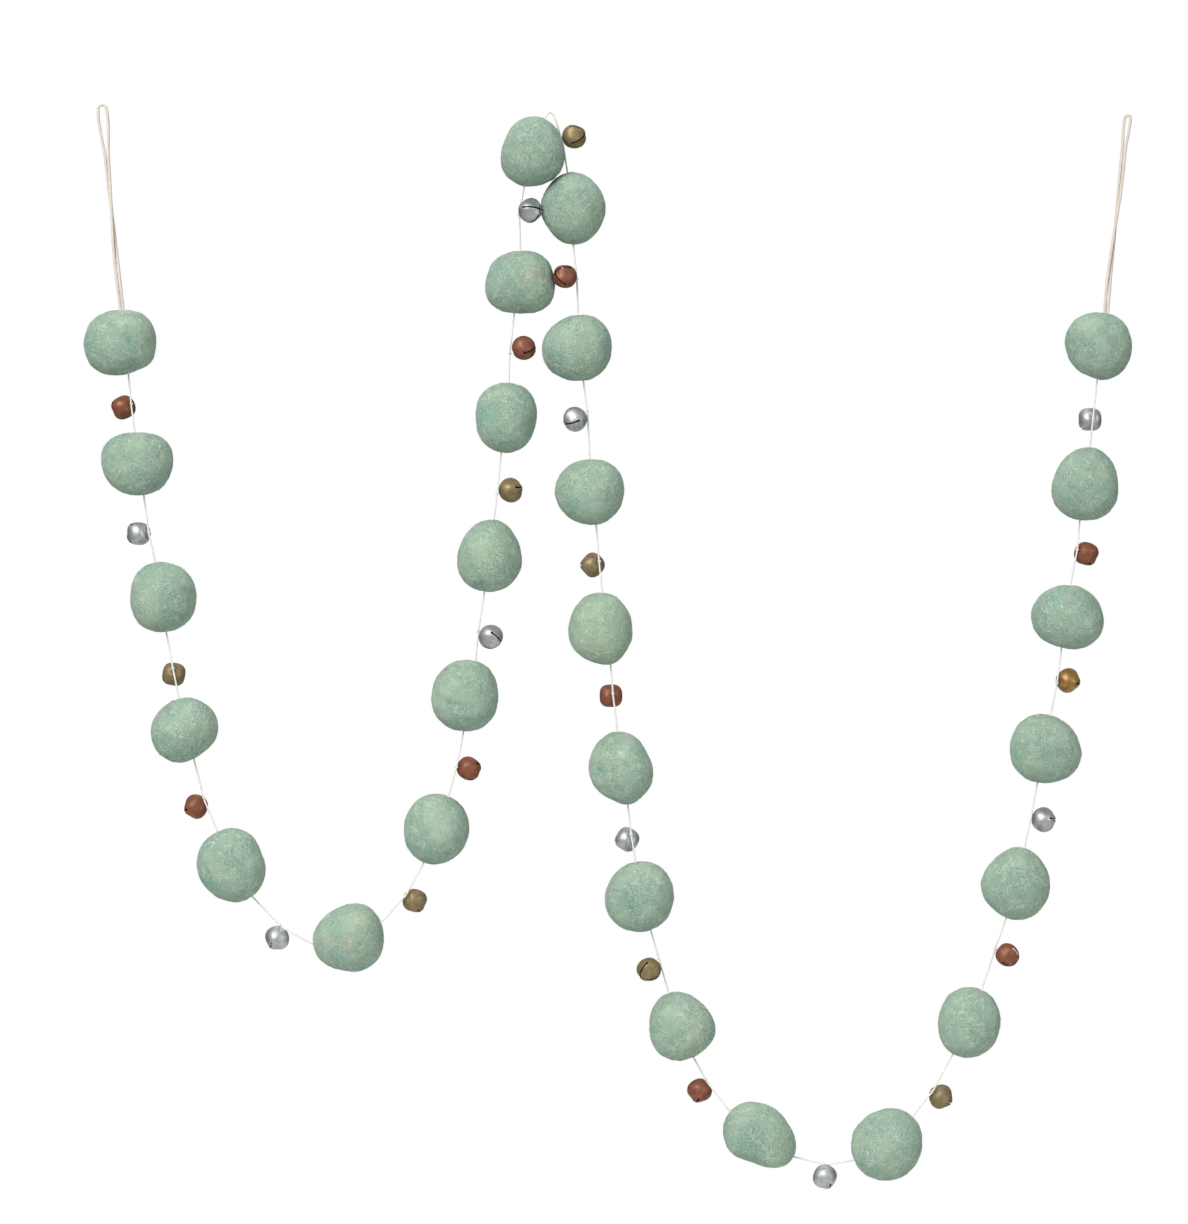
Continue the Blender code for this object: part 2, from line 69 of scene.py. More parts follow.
# Felt
BALL_DEPTH_SHARE = 0.97
BALL_FULLNESS = 2.15
BALL_LUMP = 0.02
POINT_WIDTH = math.radians(20)
BALL_CUTS = 35
LUMP_STRENGTH = 0.7 * MM
LUMP_SCALE = 6.0 * MM
PILE_STRENGTH = 0.4 * MM
PILE_SCALE = 1.7 * MM
DIMPLE_DEPTH = 0.7
DIMPLE_R = 1.3
SWIRL_SIZE = 7.0
STRAND_COUNT = 520
STRAND_STEPS = 5
STRAND_STEP = (0.7, 1.7)
STRAND_W = 0.13
STRAND_LIFT = (0.03, 0.16)
FUZZ_COUNT = 320
FUZZ_LENGTH = (0.9, 2.6)
FUZZ_R = 0.03

# Wool texture: width of a fibre, how many times longer than wide, its sway in metres, and the specks' share
WOOL_FIBRE_W = 0.3
WOOL_COMB = 20.0
WOOL_SWAY = 0.011
WOOL_SPECK = 0.25

# Thread and cord
THREAD_D = 0.8
CORD_W = 1.42
LEG_SPACING = 1.5
LEG_TURNS = 0.75
CORD_SOCKET = 5.5
END_GAP = 0.35
LOOP_STEM = 1.0
LEG_POINTS = 11
EYE_POINTS = 7
EYE_SQUARENESS = 0.8
EYE_PEAK = 0.65

# Bells
BELL_R = 5.45
BELL_WALL = 0.42
SLIT_W = 0.75
SLIT_HOLE_D = 1.1
SLIT_HOLE_DROP = 0.09
PELLET_R = 2.8
WARM_BELL = 24
PETAL_CORNER = 0.062
FOLD_START = math.radians(45)
STRAP_W = 1.2
STRAP_WALL = 0.45
STRAP_SPAN = 2.7
STRAP_OPENING = 2.0
HOLLOW_L = 1.9
HOLLOW_W = 1.1
HOLLOW_DEPTH = 0.55
RING_REACH = BELL_R + 1.05


class Ball(NamedTuple):
    """A ball's middle, its outline radii every 45 degrees, one soft point or flat, and its thread holes."""

    x: float
    z: float
    away: float
    right: float
    upper_right: float
    top: float
    upper_left: float
    left: float
    lower_left: float
    bottom: float
    lower_right: float
    point_at: float
    point: float
    thread_in: float
    thread_out: float


BALLS = (
    Ball(-195.2, -104.6, 0.4, 15.9, 16.7, 14.9, 15.7, 16.3, 16.4, 14.5, 14.7, 333, 1.3, 87, 285),
    Ball(-187.2, -159.4, -0.3, 15.8, 16.3, 14.1, 16.4, 16.4, 15.1, 14.4, 15.0, 10, 0.1, 95, 281),
    Ball(-175.7, -219.8, 0.5, 14.9, 15.4, 15.9, 16.0, 14.8, 15.9, 15.9, 15.6, 40, 0.2, 103, 275),
    Ball(-166.2, -280.0, -0.4, 15.2, 15.5, 14.5, 14.1, 14.9, 15.3, 14.5, 13.3, 340, 0.3, 99, 289),
    Ball(-144.7, -341.0, 0.2, 15.3, 15.5, 16.5, 16.1, 15.7, 15.4, 16.8, 16.9, 22, -0.6, 113, 303),
    Ball(-91.8, -374.0, 0.6, 16.0, 16.3, 15.0, 14.2, 16.1, 15.9, 15.3, 16.6, 60, 0.3, 191, 24),
    Ball(-52.0, -324.7, -0.5, 14.9, 15.3, 15.9, 15.1, 14.6, 15.8, 16.1, 15.2, 28, 0.3, 250, 69),
    Ball(-39.0, -264.4, 0.3, 15.1, 16.3, 16.2, 15.5, 15.1, 15.9, 16.2, 16.1, 200, 0.3, 268, 73),
    Ball(-27.8, -200.8, -0.2, 14.5, 14.6, 16.0, 14.4, 14.6, 16.4, 16.7, 15.9, 72, 0.4, 262, 83),
    Ball(-20.3, -138.4, 1.0, 13.8, 15.6, 15.9, 15.4, 13.8, 15.3, 15.9, 14.7, 230, -0.2, 262, 86),
    Ball(-13.9, -76.8, 3.0, 15.7, 15.6, 14.2, 15.0, 15.7, 16.2, 14.0, 16.2, 205, 0.3, 259, 90),
    Ball(-8.0, -17.9, -3.0, 14.4, 14.6, 15.3, 14.2, 14.3, 16.7, 15.9, 15.6, 25, -0.3, 256, 71),
    Ball(10.1, -43.6, 2.4, 14.7, 15.1, 16.3, 15.1, 14.8, 14.5, 16.2, 14.9, 108, 0.3, 99, 270),
    Ball(11.8, -106.9, 1.2, 15.8, 16.3, 15.0, 14.8, 15.9, 15.5, 14.8, 15.6, 285, 0.1, 88, 281),
    Ball(17.6, -172.1, -0.4, 15.6, 15.9, 14.8, 15.4, 15.8, 15.0, 14.6, 15.2, 283, 0.5, 90, 281),
    Ball(22.4, -234.1, 0.3, 14.5, 15.3, 16.5, 15.2, 14.5, 15.2, 15.4, 15.5, 286, 1.4, 87, 286),
    Ball(31.6, -297.2, -0.5, 14.5, 14.4, 16.6, 15.4, 14.5, 14.4, 14.9, 15.9, 281, 1.6, 95, 281),
    Ball(40.0, -355.5, 0.4, 15.7, 16.2, 15.9, 15.1, 15.5, 16.1, 16.0, 15.9, 60, 0.2, 96, 289),
    Ball(59.2, -414.2, -0.3, 14.9, 13.9, 15.4, 16.0, 14.7, 15.7, 15.2, 14.6, 350, 0.4, 111, 291),
    Ball(94.2, -463.2, 0.5, 15.8, 13.5, 14.4, 16.4, 16.2, 14.1, 13.5, 18.3, 325, 0.2, 142, 327),
    Ball(152.1, -467.8, -0.6, 15.9, 17.2, 16.3, 15.3, 15.8, 16.5, 15.8, 15.6, 163, 0.6, 205, 48),
    Ball(189.5, -412.3, 0.3, 14.0, 15.1, 15.6, 14.9, 14.0, 15.7, 16.0, 14.8, 150, -0.3, 243, 69),
    Ball(210.4, -349.6, -0.2, 15.5, 15.8, 16.2, 14.4, 15.5, 15.2, 16.3, 16.1, 79, 0.3, 255, 76),
    Ball(224.0, -288.4, 0.5, 15.8, 14.9, 15.6, 16.2, 16.0, 16.2, 15.6, 16.5, 345, 0.3, 257, 81),
    Ball(234.0, -228.7, -0.4, 15.9, 14.9, 14.4, 15.5, 16.4, 15.0, 14.4, 16.3, 340, 0.3, 259, 85),
    Ball(241.9, -168.4, 0.2, 14.8, 15.8, 16.1, 14.5, 14.6, 16.5, 16.6, 16.7, 80, 0.5, 262, 82),
    Ball(248.0, -106.0, -0.3, 15.0, 15.3, 15.2, 15.8, 14.8, 14.1, 14.6, 15.6, 282, 0.7, 268, 77),
)


class Bell(NamedTuple):
    """Where the thread passes the strap, where the bell's middle hangs beside it, and its slits' turn."""

    finish: str
    x: float
    z: float
    away: float
    body_x: float
    body_z: float
    in_front: int
    slit_turn: float


COPPER, SILVER, BRASS = "bell_copper", "bell_silver", "bell_brass"

BELLS = (
    Bell(COPPER, -190.1, -133.2, 0.0, -194.3, -133.5, -1, 67),
    Bell(SILVER, -182.1, -191.3, 0.0, -187.3, -190.9, -1, 37),
    Bell(BRASS, -171.0, -253.1, 0.0, -171.6, -254.8, -1, 24),
    Bell(COPPER, -157.1, -311.6, 0.0, -161.2, -314.8, -1, 86),
    Bell(SILVER, -122.3, -369.0, 0.0, -124.3, -374.4, -1, 85),
    Bell(BRASS, -65.7, -354.7, 0.0, -62.0, -357.6, -1, 66),
    Bell(COPPER, -42.6, -295.8, 0.0, -37.4, -297.5, -1, 34),
    Bell(SILVER, -32.8, -234.4, 0.0, -27.3, -237.7, 1, 25),
    Bell(BRASS, -24.3, -171.8, 0.4, -18.4, -171.2, -1, 11),
    Bell(COPPER, -18.7, -108.2, 1.8, -12.4, -106.8, 1, 55),
    Bell(SILVER, -14.4, -45.5, 0.6, -9.3, -45.0, 1, 17),
    Bell(BRASS, 4.6, -11.9, 4.5, 10.4, -10.9, 1, 65),
    Bell(COPPER, 11.8, -76.5, 0.0, 6.4, -74.8, 1, 54),
    Bell(SILVER, 16.6, -136.5, 0.4, 11.0, -139.2, 1, 13),
    Bell(BRASS, 21.9, -204.6, 0.0, 18.9, -205.1, -1, 84),
    Bell(COPPER, 28.2, -264.6, 0.0, 27.2, -264.6, -1, 40),
    Bell(SILVER, 36.5, -328.1, 0.0, 34.6, -329.9, -1, 1),
    Bell(BRASS, 49.2, -384.6, 0.0, 44.4, -388.2, 1, 47),
    Bell(COPPER, 70.5, -439.1, 0.0, 67.5, -443.7, -1, 26),
    Bell(SILVER, 124.6, -476.7, 0.0, 124.3, -482.7, -1, 27),
    Bell(BRASS, 173.2, -443.2, 0.0, 177.0, -446.6, -1, 6),
    Bell(COPPER, 201.6, -377.9, 0.0, 206.7, -381.8, 1, 49),
    Bell(SILVER, 217.4, -320.1, 0.0, 223.4, -320.7, -1, 13),
    Bell(BRASS, 229.4, -257.6, 0.0, 234.7, -257.6, -1, 83),
    Bell(COPPER, 238.6, -197.3, 0.0, 243.0, -200.0, -1, 38),
    Bell(SILVER, 245.7, -137.8, 0.0, 245.1, -138.9, -1, 50),
)



class Metal(NamedTuple):
    """A finish: its clean and dull colours, its least roughness, how dented and how metallic it looks."""

    used_for: str
    name: str
    bright: tuple
    dull: tuple
    polish: float
    wrinkle: float
    metallic: float


def linear(red, green, blue):
    """A colour as a screen shows it, from 0 to 255, in the renderer's linear light."""
    def one(value):
        share = value / 255
        return share / 12.92 if share <= 0.04045 else ((share + 0.055) / 1.055) ** 2.4
    return (one(red), one(green), one(blue), 1.0)


WARM, PAINTED_SHADE_INSIDE = "warm_brass", "inside"

METALS = (
    Metal(COPPER, "copper_paint", linear(142, 85, 60), linear(116, 68, 48), 0.42, 0.5, 0.2),
    Metal(SILVER, "silver_plate", linear(202, 204, 204), linear(176, 178, 180), 0.45, 0.3, 0.95),
    Metal(BRASS, "antique_brass", linear(150, 133, 96), linear(124, 109, 77), 0.46, 0.3, 0.45),
    Metal(WARM, "warm_brass", linear(188, 148, 92), linear(158, 121, 72), 0.38, 0.2, 0.8),
    # The bells' insides and pellets take this near-black colour: painted shade for the dark hollow inside each
    # bell
    Metal(PAINTED_SHADE_INSIDE, "painted_shade_inside", linear(52, 50, 47), linear(34, 33, 32), 0.7, 0.3, 0.3),
)

# Wool and yarn colours, each pair from the first shade to the second; the other wools are teal, oat and moss
SAGE = (linear(142, 172, 155), linear(165, 188, 168))
OTHER_WOOLS = (linear(110, 162, 152), linear(194, 188, 162), linear(168, 188, 158))
DARK_FIBRE = linear(94, 130, 112)
PALE_FIBRE = linear(209, 223, 205)
LOOSE_FIBRE = (linear(158, 190, 170), linear(214, 226, 208))
SHEEN_TINT = linear(226, 236, 222)
# The second colour of the thread and of the cord is painted shade for the yarn's hollows between fibres
THREAD_COLOUR_AND_PAINTED_SHADE = (linear(240, 240, 237), linear(230, 229, 225))
CORD_COLOUR_AND_PAINTED_SHADE = (linear(230, 221, 210), linear(224, 209, 196))

# Balls whose thread end lies over the felt beside the hole it comes from
THREAD_ENDS = (7, 21, 22, 23, 24, 26)

# Depth of the thread at the top of ball 12 and of ball 13, from the ball's middle
THREAD_AWAY_OUT = {12: 1.2}
THREAD_AWAY_IN = {13: 0.6}
HOOK_AFTER_BALL = 12
OVER_THE_HOOK = (Vector((-1.3, -0.9, -0.5)), Vector((0.0, 0.0, 0.0)), Vector((1.1, 0.3, -1.2)),
                 Vector((2.6, 1.2, -4.8)))
BEHIND_BALL_12 = Vector((6.1, 3.9, -18.0))

# Middle line of each loop's two legs, from the ball up to where they part, and the eye above
LEFT_LOOP = (Vector((-196.9, 0.2, -68.7)), Vector((-198.4, 0.0, -52.0)), Vector((-200.0, 0.0, -34.4)),
             Vector((-201.3, 0.0, -19.3)))
LEFT_EYE_TOP = Vector((-203.5, 0.0, 3.6))
LEFT_EYE_W = 4.3
RIGHT_LOOP = (Vector((252.7, 0.0, -76.4)), Vector((255.3, 0.0, -54.5)), Vector((257.4, 0.0, -37.9)),
              Vector((259.7, 0.0, -15.0)))
RIGHT_EYE_TOP = Vector((261.5, 0.0, -1.1))
RIGHT_EYE_W = 2.8


# Small helpers


def deselect():
    if bpy.context.mode != "OBJECT":
        bpy.ops.object.mode_set(mode="OBJECT")
    bpy.ops.object.select_all(action="DESELECT")


def pick(obj):
    """Makes this the one selected and active object."""
    deselect()
    obj.select_set(True)
    bpy.context.view_layer.objects.active = obj
    return obj


def apply_modifiers(obj):
    pick(obj)
    for modifier in list(obj.modifiers):
        bpy.ops.object.modifier_apply(modifier=modifier.name)


def copy_of(obj, name):
    """A copy with its own mesh."""
    twin = obj.copy()
    twin.data = obj.data.copy()
    twin.name = twin.data.name = name
    bpy.context.scene.collection.objects.link(twin)
    return twin


def place_in_mesh(obj, matrix):
    """Moves the mesh itself, so that the object stays at the origin."""
    obj.data.transform(matrix)
    obj.matrix_world = Matrix.Identity(4)


def finish_piece(obj, material):
    obj.data.materials.clear()
    obj.data.materials.append(material)
    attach(obj, BODY)
    return obj


# Camera, light and floor


def add_camera():
    data = bpy.data.cameras.new("camera")
    data.lens = LENS_MM
    data.sensor_width = SENSOR_MM
    data.sensor_fit = "AUTO"
    data.clip_start = 0.05
    distance = VIEW_HEIGHT * LENS_MM / SENSOR_MM
    camera = bpy.data.objects.new("camera", data)
    camera.location = VIEW_MIDDLE - Vector((0, distance, 0))
    camera.rotation_euler = (math.pi / 2, 0, 0)
    bpy.context.scene.collection.objects.link(camera)
    bpy.context.scene.camera = camera


def add_soft_box(row):
    data = bpy.data.lights.new(row.name, "AREA")
    data.shape = "SQUARE"
    data.size = row.side
    data.energy = row.watts
    data.color = row.colour
    data.spread = BEAM
    lamp = bpy.data.objects.new(row.name, data)
    lamp.location = row.place
    lamp.rotation_euler = (VIEW_MIDDLE - Vector(row.place)).to_track_quat("-Z", "Y").to_euler()
    bpy.context.scene.collection.objects.link(lamp)


def add_world():
    """White behind the garland, and a softer room that is brighter above than below to light it."""
    world = bpy.data.worlds.new("studio")
    bpy.context.scene.world = world
    world.use_nodes = True
    tree = world.node_tree
    tree.nodes.clear()
    seen = add_node(tree, "ShaderNodeBackground", {"Color": (1, 1, 1, 1)})
    coords = add_node(tree, "ShaderNodeTexCoord")
    split = add_node(tree, "ShaderNodeSeparateXYZ", {0: coords.outputs["Generated"]})
    height = math_node(tree, "MULTIPLY_ADD", split.outputs["Z"], 0.5, 0.5)
    ramp = add_node(tree, "ShaderNodeValToRGB", {0: height})
    for step, (position, colour) in zip(ramp.color_ramp.elements, (ROOM_BELOW, ROOM_ABOVE)):
        step.position = position
        step.color = colour
    room = add_node(tree, "ShaderNodeBackground", {"Color": ramp.outputs[0], "Strength": ROOM_LIGHT})
    path = add_node(tree, "ShaderNodeLightPath")
    mix = add_node(tree, "ShaderNodeMixShader",
                   {0: path.outputs["Is Camera Ray"], 1: room.outputs[0], 2: seen.outputs[0]})
    add_node(tree, "ShaderNodeOutputWorld", {"Surface": mix.outputs[0]})


def add_studio():
    add_camera()
    add_world()
    for row in LAMPS:
        add_soft_box(row)
    bpy.context.scene.view_settings.view_transform = "Standard"
    bpy.ops.mesh.primitive_plane_add(size=FLOOR_SIDE, location=(VIEW_MIDDLE.x, 0, FLOOR_Z))
    floor = bpy.context.object
    floor.name = "floor"
    paint = bpy.data.materials.new("floor_paint")
    paint.use_nodes = True
    shader = paint.node_tree.nodes["Principled BSDF"]
    shader.inputs["Base Color"].default_value = linear(236, 236, 234)
    shader.inputs["Roughness"].default_value = 0.9
    floor.data.materials.append(paint)


# Shader node groups and materials


def add_node(tree, kind, values=None, **settings):
    """A node with its settings made, and its inputs filled or linked by name or number."""
    node = tree.nodes.new(kind)
    for key, value in settings.items():
        setattr(node, key, value)
    for key, value in (values or {}).items():
        socket = node.inputs[key]
        if isinstance(value, bpy.types.NodeSocket):
            tree.links.new(value, socket)
        else:
            socket.default_value = value
    return node


def math_node(tree, operation, first, second=0.0, third=0.0):
    return add_node(tree, "ShaderNodeMath", {0: first, 1: second, 2: third}, operation=operation).outputs[0]


def vector_node(tree, operation, values):
    return add_node(tree, "ShaderNodeVectorMath", values, operation=operation)


def ranged(tree, value, low, high, to_low=0.0, to_high=1.0):
    node = add_node(tree, "ShaderNodeMapRange", {"Value": value, "From Min": low, "From Max": high,
                                                 "To Min": to_low, "To Max": to_high})
    return node.outputs[0]


def blended(tree, share, first, second):
    return add_node(tree, "ShaderNodeMix", {0: share, 6: first, 7: second}, data_type="RGBA").outputs[2]


def noise(tree, vector, scale, detail=2.0, roughness=0.5, distortion=0.0):
    return add_node(tree, "ShaderNodeTexNoise", {"Vector": vector, "Scale": scale, "Detail": detail,
                                                 "Roughness": roughness, "Distortion": distortion})


def new_group(name, inputs, outputs):
    """An empty node group with named sockets, and its input and output nodes."""
    group = bpy.data.node_groups.new(name, "ShaderNodeTree")
    for label, kind, default in inputs:
        socket = group.interface.new_socket(name=label, in_out="INPUT", socket_type=kind)
        socket.default_value = default
    for label, kind in outputs:
        group.interface.new_socket(name=label, in_out="OUTPUT", socket_type=kind)
    return group, group.nodes.new("NodeGroupInput"), group.nodes.new("NodeGroupOutput")


def wool_group():
    """Wool fibres that lie in crossing layers on the surface, each combed one way and strong in patches."""
    group, given, out = new_group(
        "wool_layers",
        [("Fibre Width", "NodeSocketFloat", WOOL_FIBRE_W * MM), ("Comb", "NodeSocketFloat", WOOL_COMB)],
        [("Pale Fibre", "NodeSocketFloat"), ("Dark Fibre", "NodeSocketFloat"), ("Height", "NodeSocketFloat")])
    where = add_node(group, "ShaderNodeTexCoord")
    coords, normal = where.outputs["Object"], where.outputs["Normal"]
    warp = noise(group, coords, 130, 1.0).outputs["Color"]
    centred = vector_node(group, "SUBTRACT", {0: warp, 1: (0.5, 0.5, 0.5)}).outputs[0]
    pushed = vector_node(group, "SCALE", {0: centred, "Scale": WOOL_SWAY}).outputs[0]
    moved = vector_node(group, "ADD", {0: coords, 1: pushed}).outputs[0]
    scale = math_node(group, "DIVIDE", 1.0, given.outputs["Fibre Width"])
    combed = add_node(group, "ShaderNodeCombineXYZ", {0: given.outputs["Comb"], 1: 1.0, 2: 1.0}).outputs[0]
    total = None
    golden = (1 + math.sqrt(5)) / 2
    ways = [(0, 1, golden), (0, 1, -golden), (1, golden, 0), (1, -golden, 0), (golden, 0, 1), (golden, 0, -1)]
    for k, way in enumerate(ways):
        way = Vector(way).normalized()
        turned = way.to_track_quat("X", "Z").to_euler()
        laid = add_node(group, "ShaderNodeMapping", {"Vector": moved, "Location": (0.3 * k, 0.1 * k, 0.7 * k),
                                                     "Rotation": turned, "Scale": combed},
                        vector_type="TEXTURE")
        streak = noise(group, laid.outputs[0], scale, 1.0).outputs["Fac"]
        facing = vector_node(group, "DOT_PRODUCT", {0: normal, 1: tuple(way)})
        flat = ranged(group, math_node(group, "ABSOLUTE", facing.outputs["Value"]), 0.35, 0.75, 1.0, 0.0)
        shifted = vector_node(group, "ADD", {0: coords, 1: (0.0, 1.3 * k, 0.4)})
        patch = ranged(group, noise(group, shifted.outputs[0], 110, 1.0).outputs["Fac"], 0.42, 0.58, 0.2, 1.0)
        layer = math_node(group, "MULTIPLY", math_node(group, "SUBTRACT", streak, 0.5), flat)
        layer = math_node(group, "MULTIPLY", layer, patch)
        total = layer if total is None else math_node(group, "ADD", total, layer)
    grain = noise(group, coords, 1700, 3.0, 0.7).outputs["Fac"]
    speck = math_node(group, "MULTIPLY", math_node(group, "SUBTRACT", grain, 0.5), WOOL_SPECK)
    total = math_node(group, "ADD", total, speck)
    group.links.new(ranged(group, total, 0.02, 0.24), out.inputs["Pale Fibre"])
    group.links.new(ranged(group, total, -0.02, -0.24), out.inputs["Dark Fibre"])
    group.links.new(math_node(group, "ADD", total, 0.5), out.inputs["Height"])
    return group


def yarn_group():
    """Fine fibre streaks of spun yarn, in object space, with the darker colour as painted shade for the hollows
    between fibres, spread by noise.
    """
    group, given, out = new_group(
        "spun_yarn",
        [("Shade", "NodeSocketColor", (0.8, 0.8, 0.8, 1)),
         ("Painted Hollow Shade", "NodeSocketColor", (0.5, 0.5, 0.5, 1))],
        [("Color", "NodeSocketColor"), ("Height", "NodeSocketFloat")])
    coords = add_node(group, "ShaderNodeTexCoord").outputs["Object"]
    fine = noise(group, coords, 3200, 2.0, 0.6).outputs["Fac"]
    broad = noise(group, coords, 380, 2.0).outputs["Fac"]
    share = math_node(group, "MULTIPLY", ranged(group, fine, 0.35, 0.7), ranged(group, broad, 0.3, 0.65))
    colour = blended(group, share, given.outputs["Shade"], given.outputs["Painted Hollow Shade"])
    group.links.new(colour, out.inputs["Color"])
    group.links.new(fine, out.inputs["Height"])
    return group


def worn_metal_group():
    """Handled sheet metal: a mottled skin of patina, small scuffs and shallow dents."""
    group, given, out = new_group(
        "worn_metal",
        [("Bright", "NodeSocketColor", (0.8, 0.8, 0.8, 1)), ("Dull", "NodeSocketColor", (0.3, 0.3, 0.3, 1)),
         ("Polish", "NodeSocketFloat", 0.3), ("Wrinkle", "NodeSocketFloat", 1.0)],
        [("Color", "NodeSocketColor"), ("Roughness", "NodeSocketFloat"), ("Height", "NodeSocketFloat")])
    coords = add_node(group, "ShaderNodeTexCoord").outputs["Object"]
    mottle = noise(group, coords, 420, 3.0, 0.6, 0.6).outputs["Fac"]
    dents = noise(group, coords, 620, 2.0, 0.55).outputs["Fac"]
    scuff = noise(group, coords, 2600, 3.0, 0.7).outputs["Fac"]
    share = ranged(group, mottle, 0.38, 0.68)
    colour = blended(group, share, given.outputs["Bright"], given.outputs["Dull"])
    group.links.new(colour, out.inputs["Color"])
    rough = math_node(group, "ADD", given.outputs["Polish"], math_node(group, "MULTIPLY", share, 0.14))
    rough = math_node(group, "ADD", rough, ranged(group, scuff, 0.5, 0.75, 0.0, 0.12))
    group.links.new(rough, out.inputs["Roughness"])
    height = math_node(group, "ADD", math_node(group, "MULTIPLY", dents, given.outputs["Wrinkle"]),
                       math_node(group, "MULTIPLY", scuff, 0.02))
    group.links.new(height, out.inputs["Height"])
    return group


def new_material(name):
    material = bpy.data.materials.new(name)
    material.use_nodes = True
    return material, material.node_tree, material.node_tree.nodes["Principled BSDF"]


def set_shader(shader, **values):
    """Constants on the shader's sockets; an underscore in a name stands for a space."""
    for name, value in values.items():
        shader.inputs[name.replace("_", " ")].default_value = value


def bump_into(tree, shader, height, strength, distance):
    bump = add_node(tree, "ShaderNodeBump", {"Height": height, "Strength": strength, "Distance": distance})
    tree.links.new(bump.outputs["Normal"], shader.inputs["Normal"])


def felt_material(wool):
    """Sage wool with teal, oat and moss wool rolled in, and pale and dark fibres over it."""
    material, tree, shader = new_material("felted_wool")
    fibres = add_node(tree, "ShaderNodeGroup", node_tree=wool)
    coords = add_node(tree, "ShaderNodeTexCoord").outputs["Object"]
    blend = add_node(tree, "ShaderNodeVertexColor", layer_name="wool_blend").outputs["Color"]
    amounts = add_node(tree, "ShaderNodeSeparateColor", {0: blend})
    cloud = noise(tree, coords, 85, 3.0, 0.55, 0.4).outputs["Fac"]
    ragged = noise(tree, coords, 330, 4.0, 0.65, 0.8).outputs["Fac"]
    body = blended(tree, ranged(tree, cloud, 0.35, 0.65), *SAGE)
    for k, colour in enumerate(OTHER_WOOLS):
        amount = amounts.outputs[k]
        torn = math_node(tree, "MULTIPLY_ADD", math_node(tree, "SUBTRACT", ragged, 0.5), 0.9, amount)
        share = ranged(tree, torn, 0.15, 0.85)
        share = math_node(tree, "MULTIPLY", share, math_node(tree, "POWER", amount, 0.5))
        body = blended(tree, math_node(tree, "MULTIPLY", share, 0.62), body, colour)
    for label, strength, colour in (("Dark Fibre", 0.6, DARK_FIBRE), ("Pale Fibre", 0.55, PALE_FIBRE)):
        body = blended(tree, math_node(tree, "MULTIPLY", fibres.outputs[label], strength), body, colour)
    tree.links.new(body, shader.inputs["Base Color"])
    set_shader(shader, Roughness=1.0, Specular_IOR_Level=0.12, Sheen_Weight=0.2, Sheen_Roughness=0.5,
               Sheen_Tint=SHEEN_TINT)
    bump_into(tree, shader, fibres.outputs["Height"], 0.6, 0.8 * MM)
    return material


def fuzz_material():
    """Single fibres, from sage to nearly white."""
    material, tree, shader = new_material("loose_fibres")
    coords = add_node(tree, "ShaderNodeTexCoord").outputs["Object"]
    shade = noise(tree, coords, 300, 2.0).outputs["Fac"]
    tree.links.new(blended(tree, ranged(tree, shade, 0.4, 0.6), *LOOSE_FIBRE), shader.inputs["Base Color"])
    set_shader(shader, Roughness=0.9, Specular_IOR_Level=0.15)
    return material


def yarn_material(name, yarn, shade, hollow):
    material, tree, shader = new_material(name)
    # The hollow colour is painted shade for the yarn's hollows
    spun = add_node(tree, "ShaderNodeGroup", {"Shade": shade, "Painted Hollow Shade": hollow}, node_tree=yarn)
    tree.links.new(spun.outputs["Color"], shader.inputs["Base Color"])
    set_shader(shader, Roughness=0.85, Specular_IOR_Level=0.2, Sheen_Weight=0.2)
    bump_into(tree, shader, spun.outputs["Height"], 0.1, 0.2 * MM)
    return material


def metal_material(row, worn):
    material, tree, shader = new_material(row.name)
    skin = add_node(tree, "ShaderNodeGroup", {"Bright": row.bright, "Dull": row.dull, "Polish": row.polish,
                                              "Wrinkle": row.wrinkle}, node_tree=worn)
    tree.links.new(skin.outputs["Color"], shader.inputs["Base Color"])
    tree.links.new(skin.outputs["Roughness"], shader.inputs["Roughness"])
    set_shader(shader, Metallic=row.metallic)
    bump_into(tree, shader, skin.outputs["Height"], 0.35, 0.4 * MM)
    return material


def make_materials():
    wool, yarn, worn = wool_group(), yarn_group(), worn_metal_group()
    made = {"felt": felt_material(wool), "fuzz": fuzz_material()}
    made["thread"] = yarn_material("spun_thread", yarn, *THREAD_COLOUR_AND_PAINTED_SHADE)
    made["loop_cord"] = yarn_material("loop_cord_yarn", yarn, *CORD_COLOUR_AND_PAINTED_SHADE)
    for row in METALS:
        made[row.used_for] = metal_material(row, worn)
    return made


# Felt balls


class Patch(NamedTuple):
    """Other wool rolled into a ball: where it lies on the front, in radii, its reach and its strength."""

    wool: str
    right: float
    up: float
    reach: float
    strength: float


TEAL, OAT, MOSS = "teal", "oat", "moss"

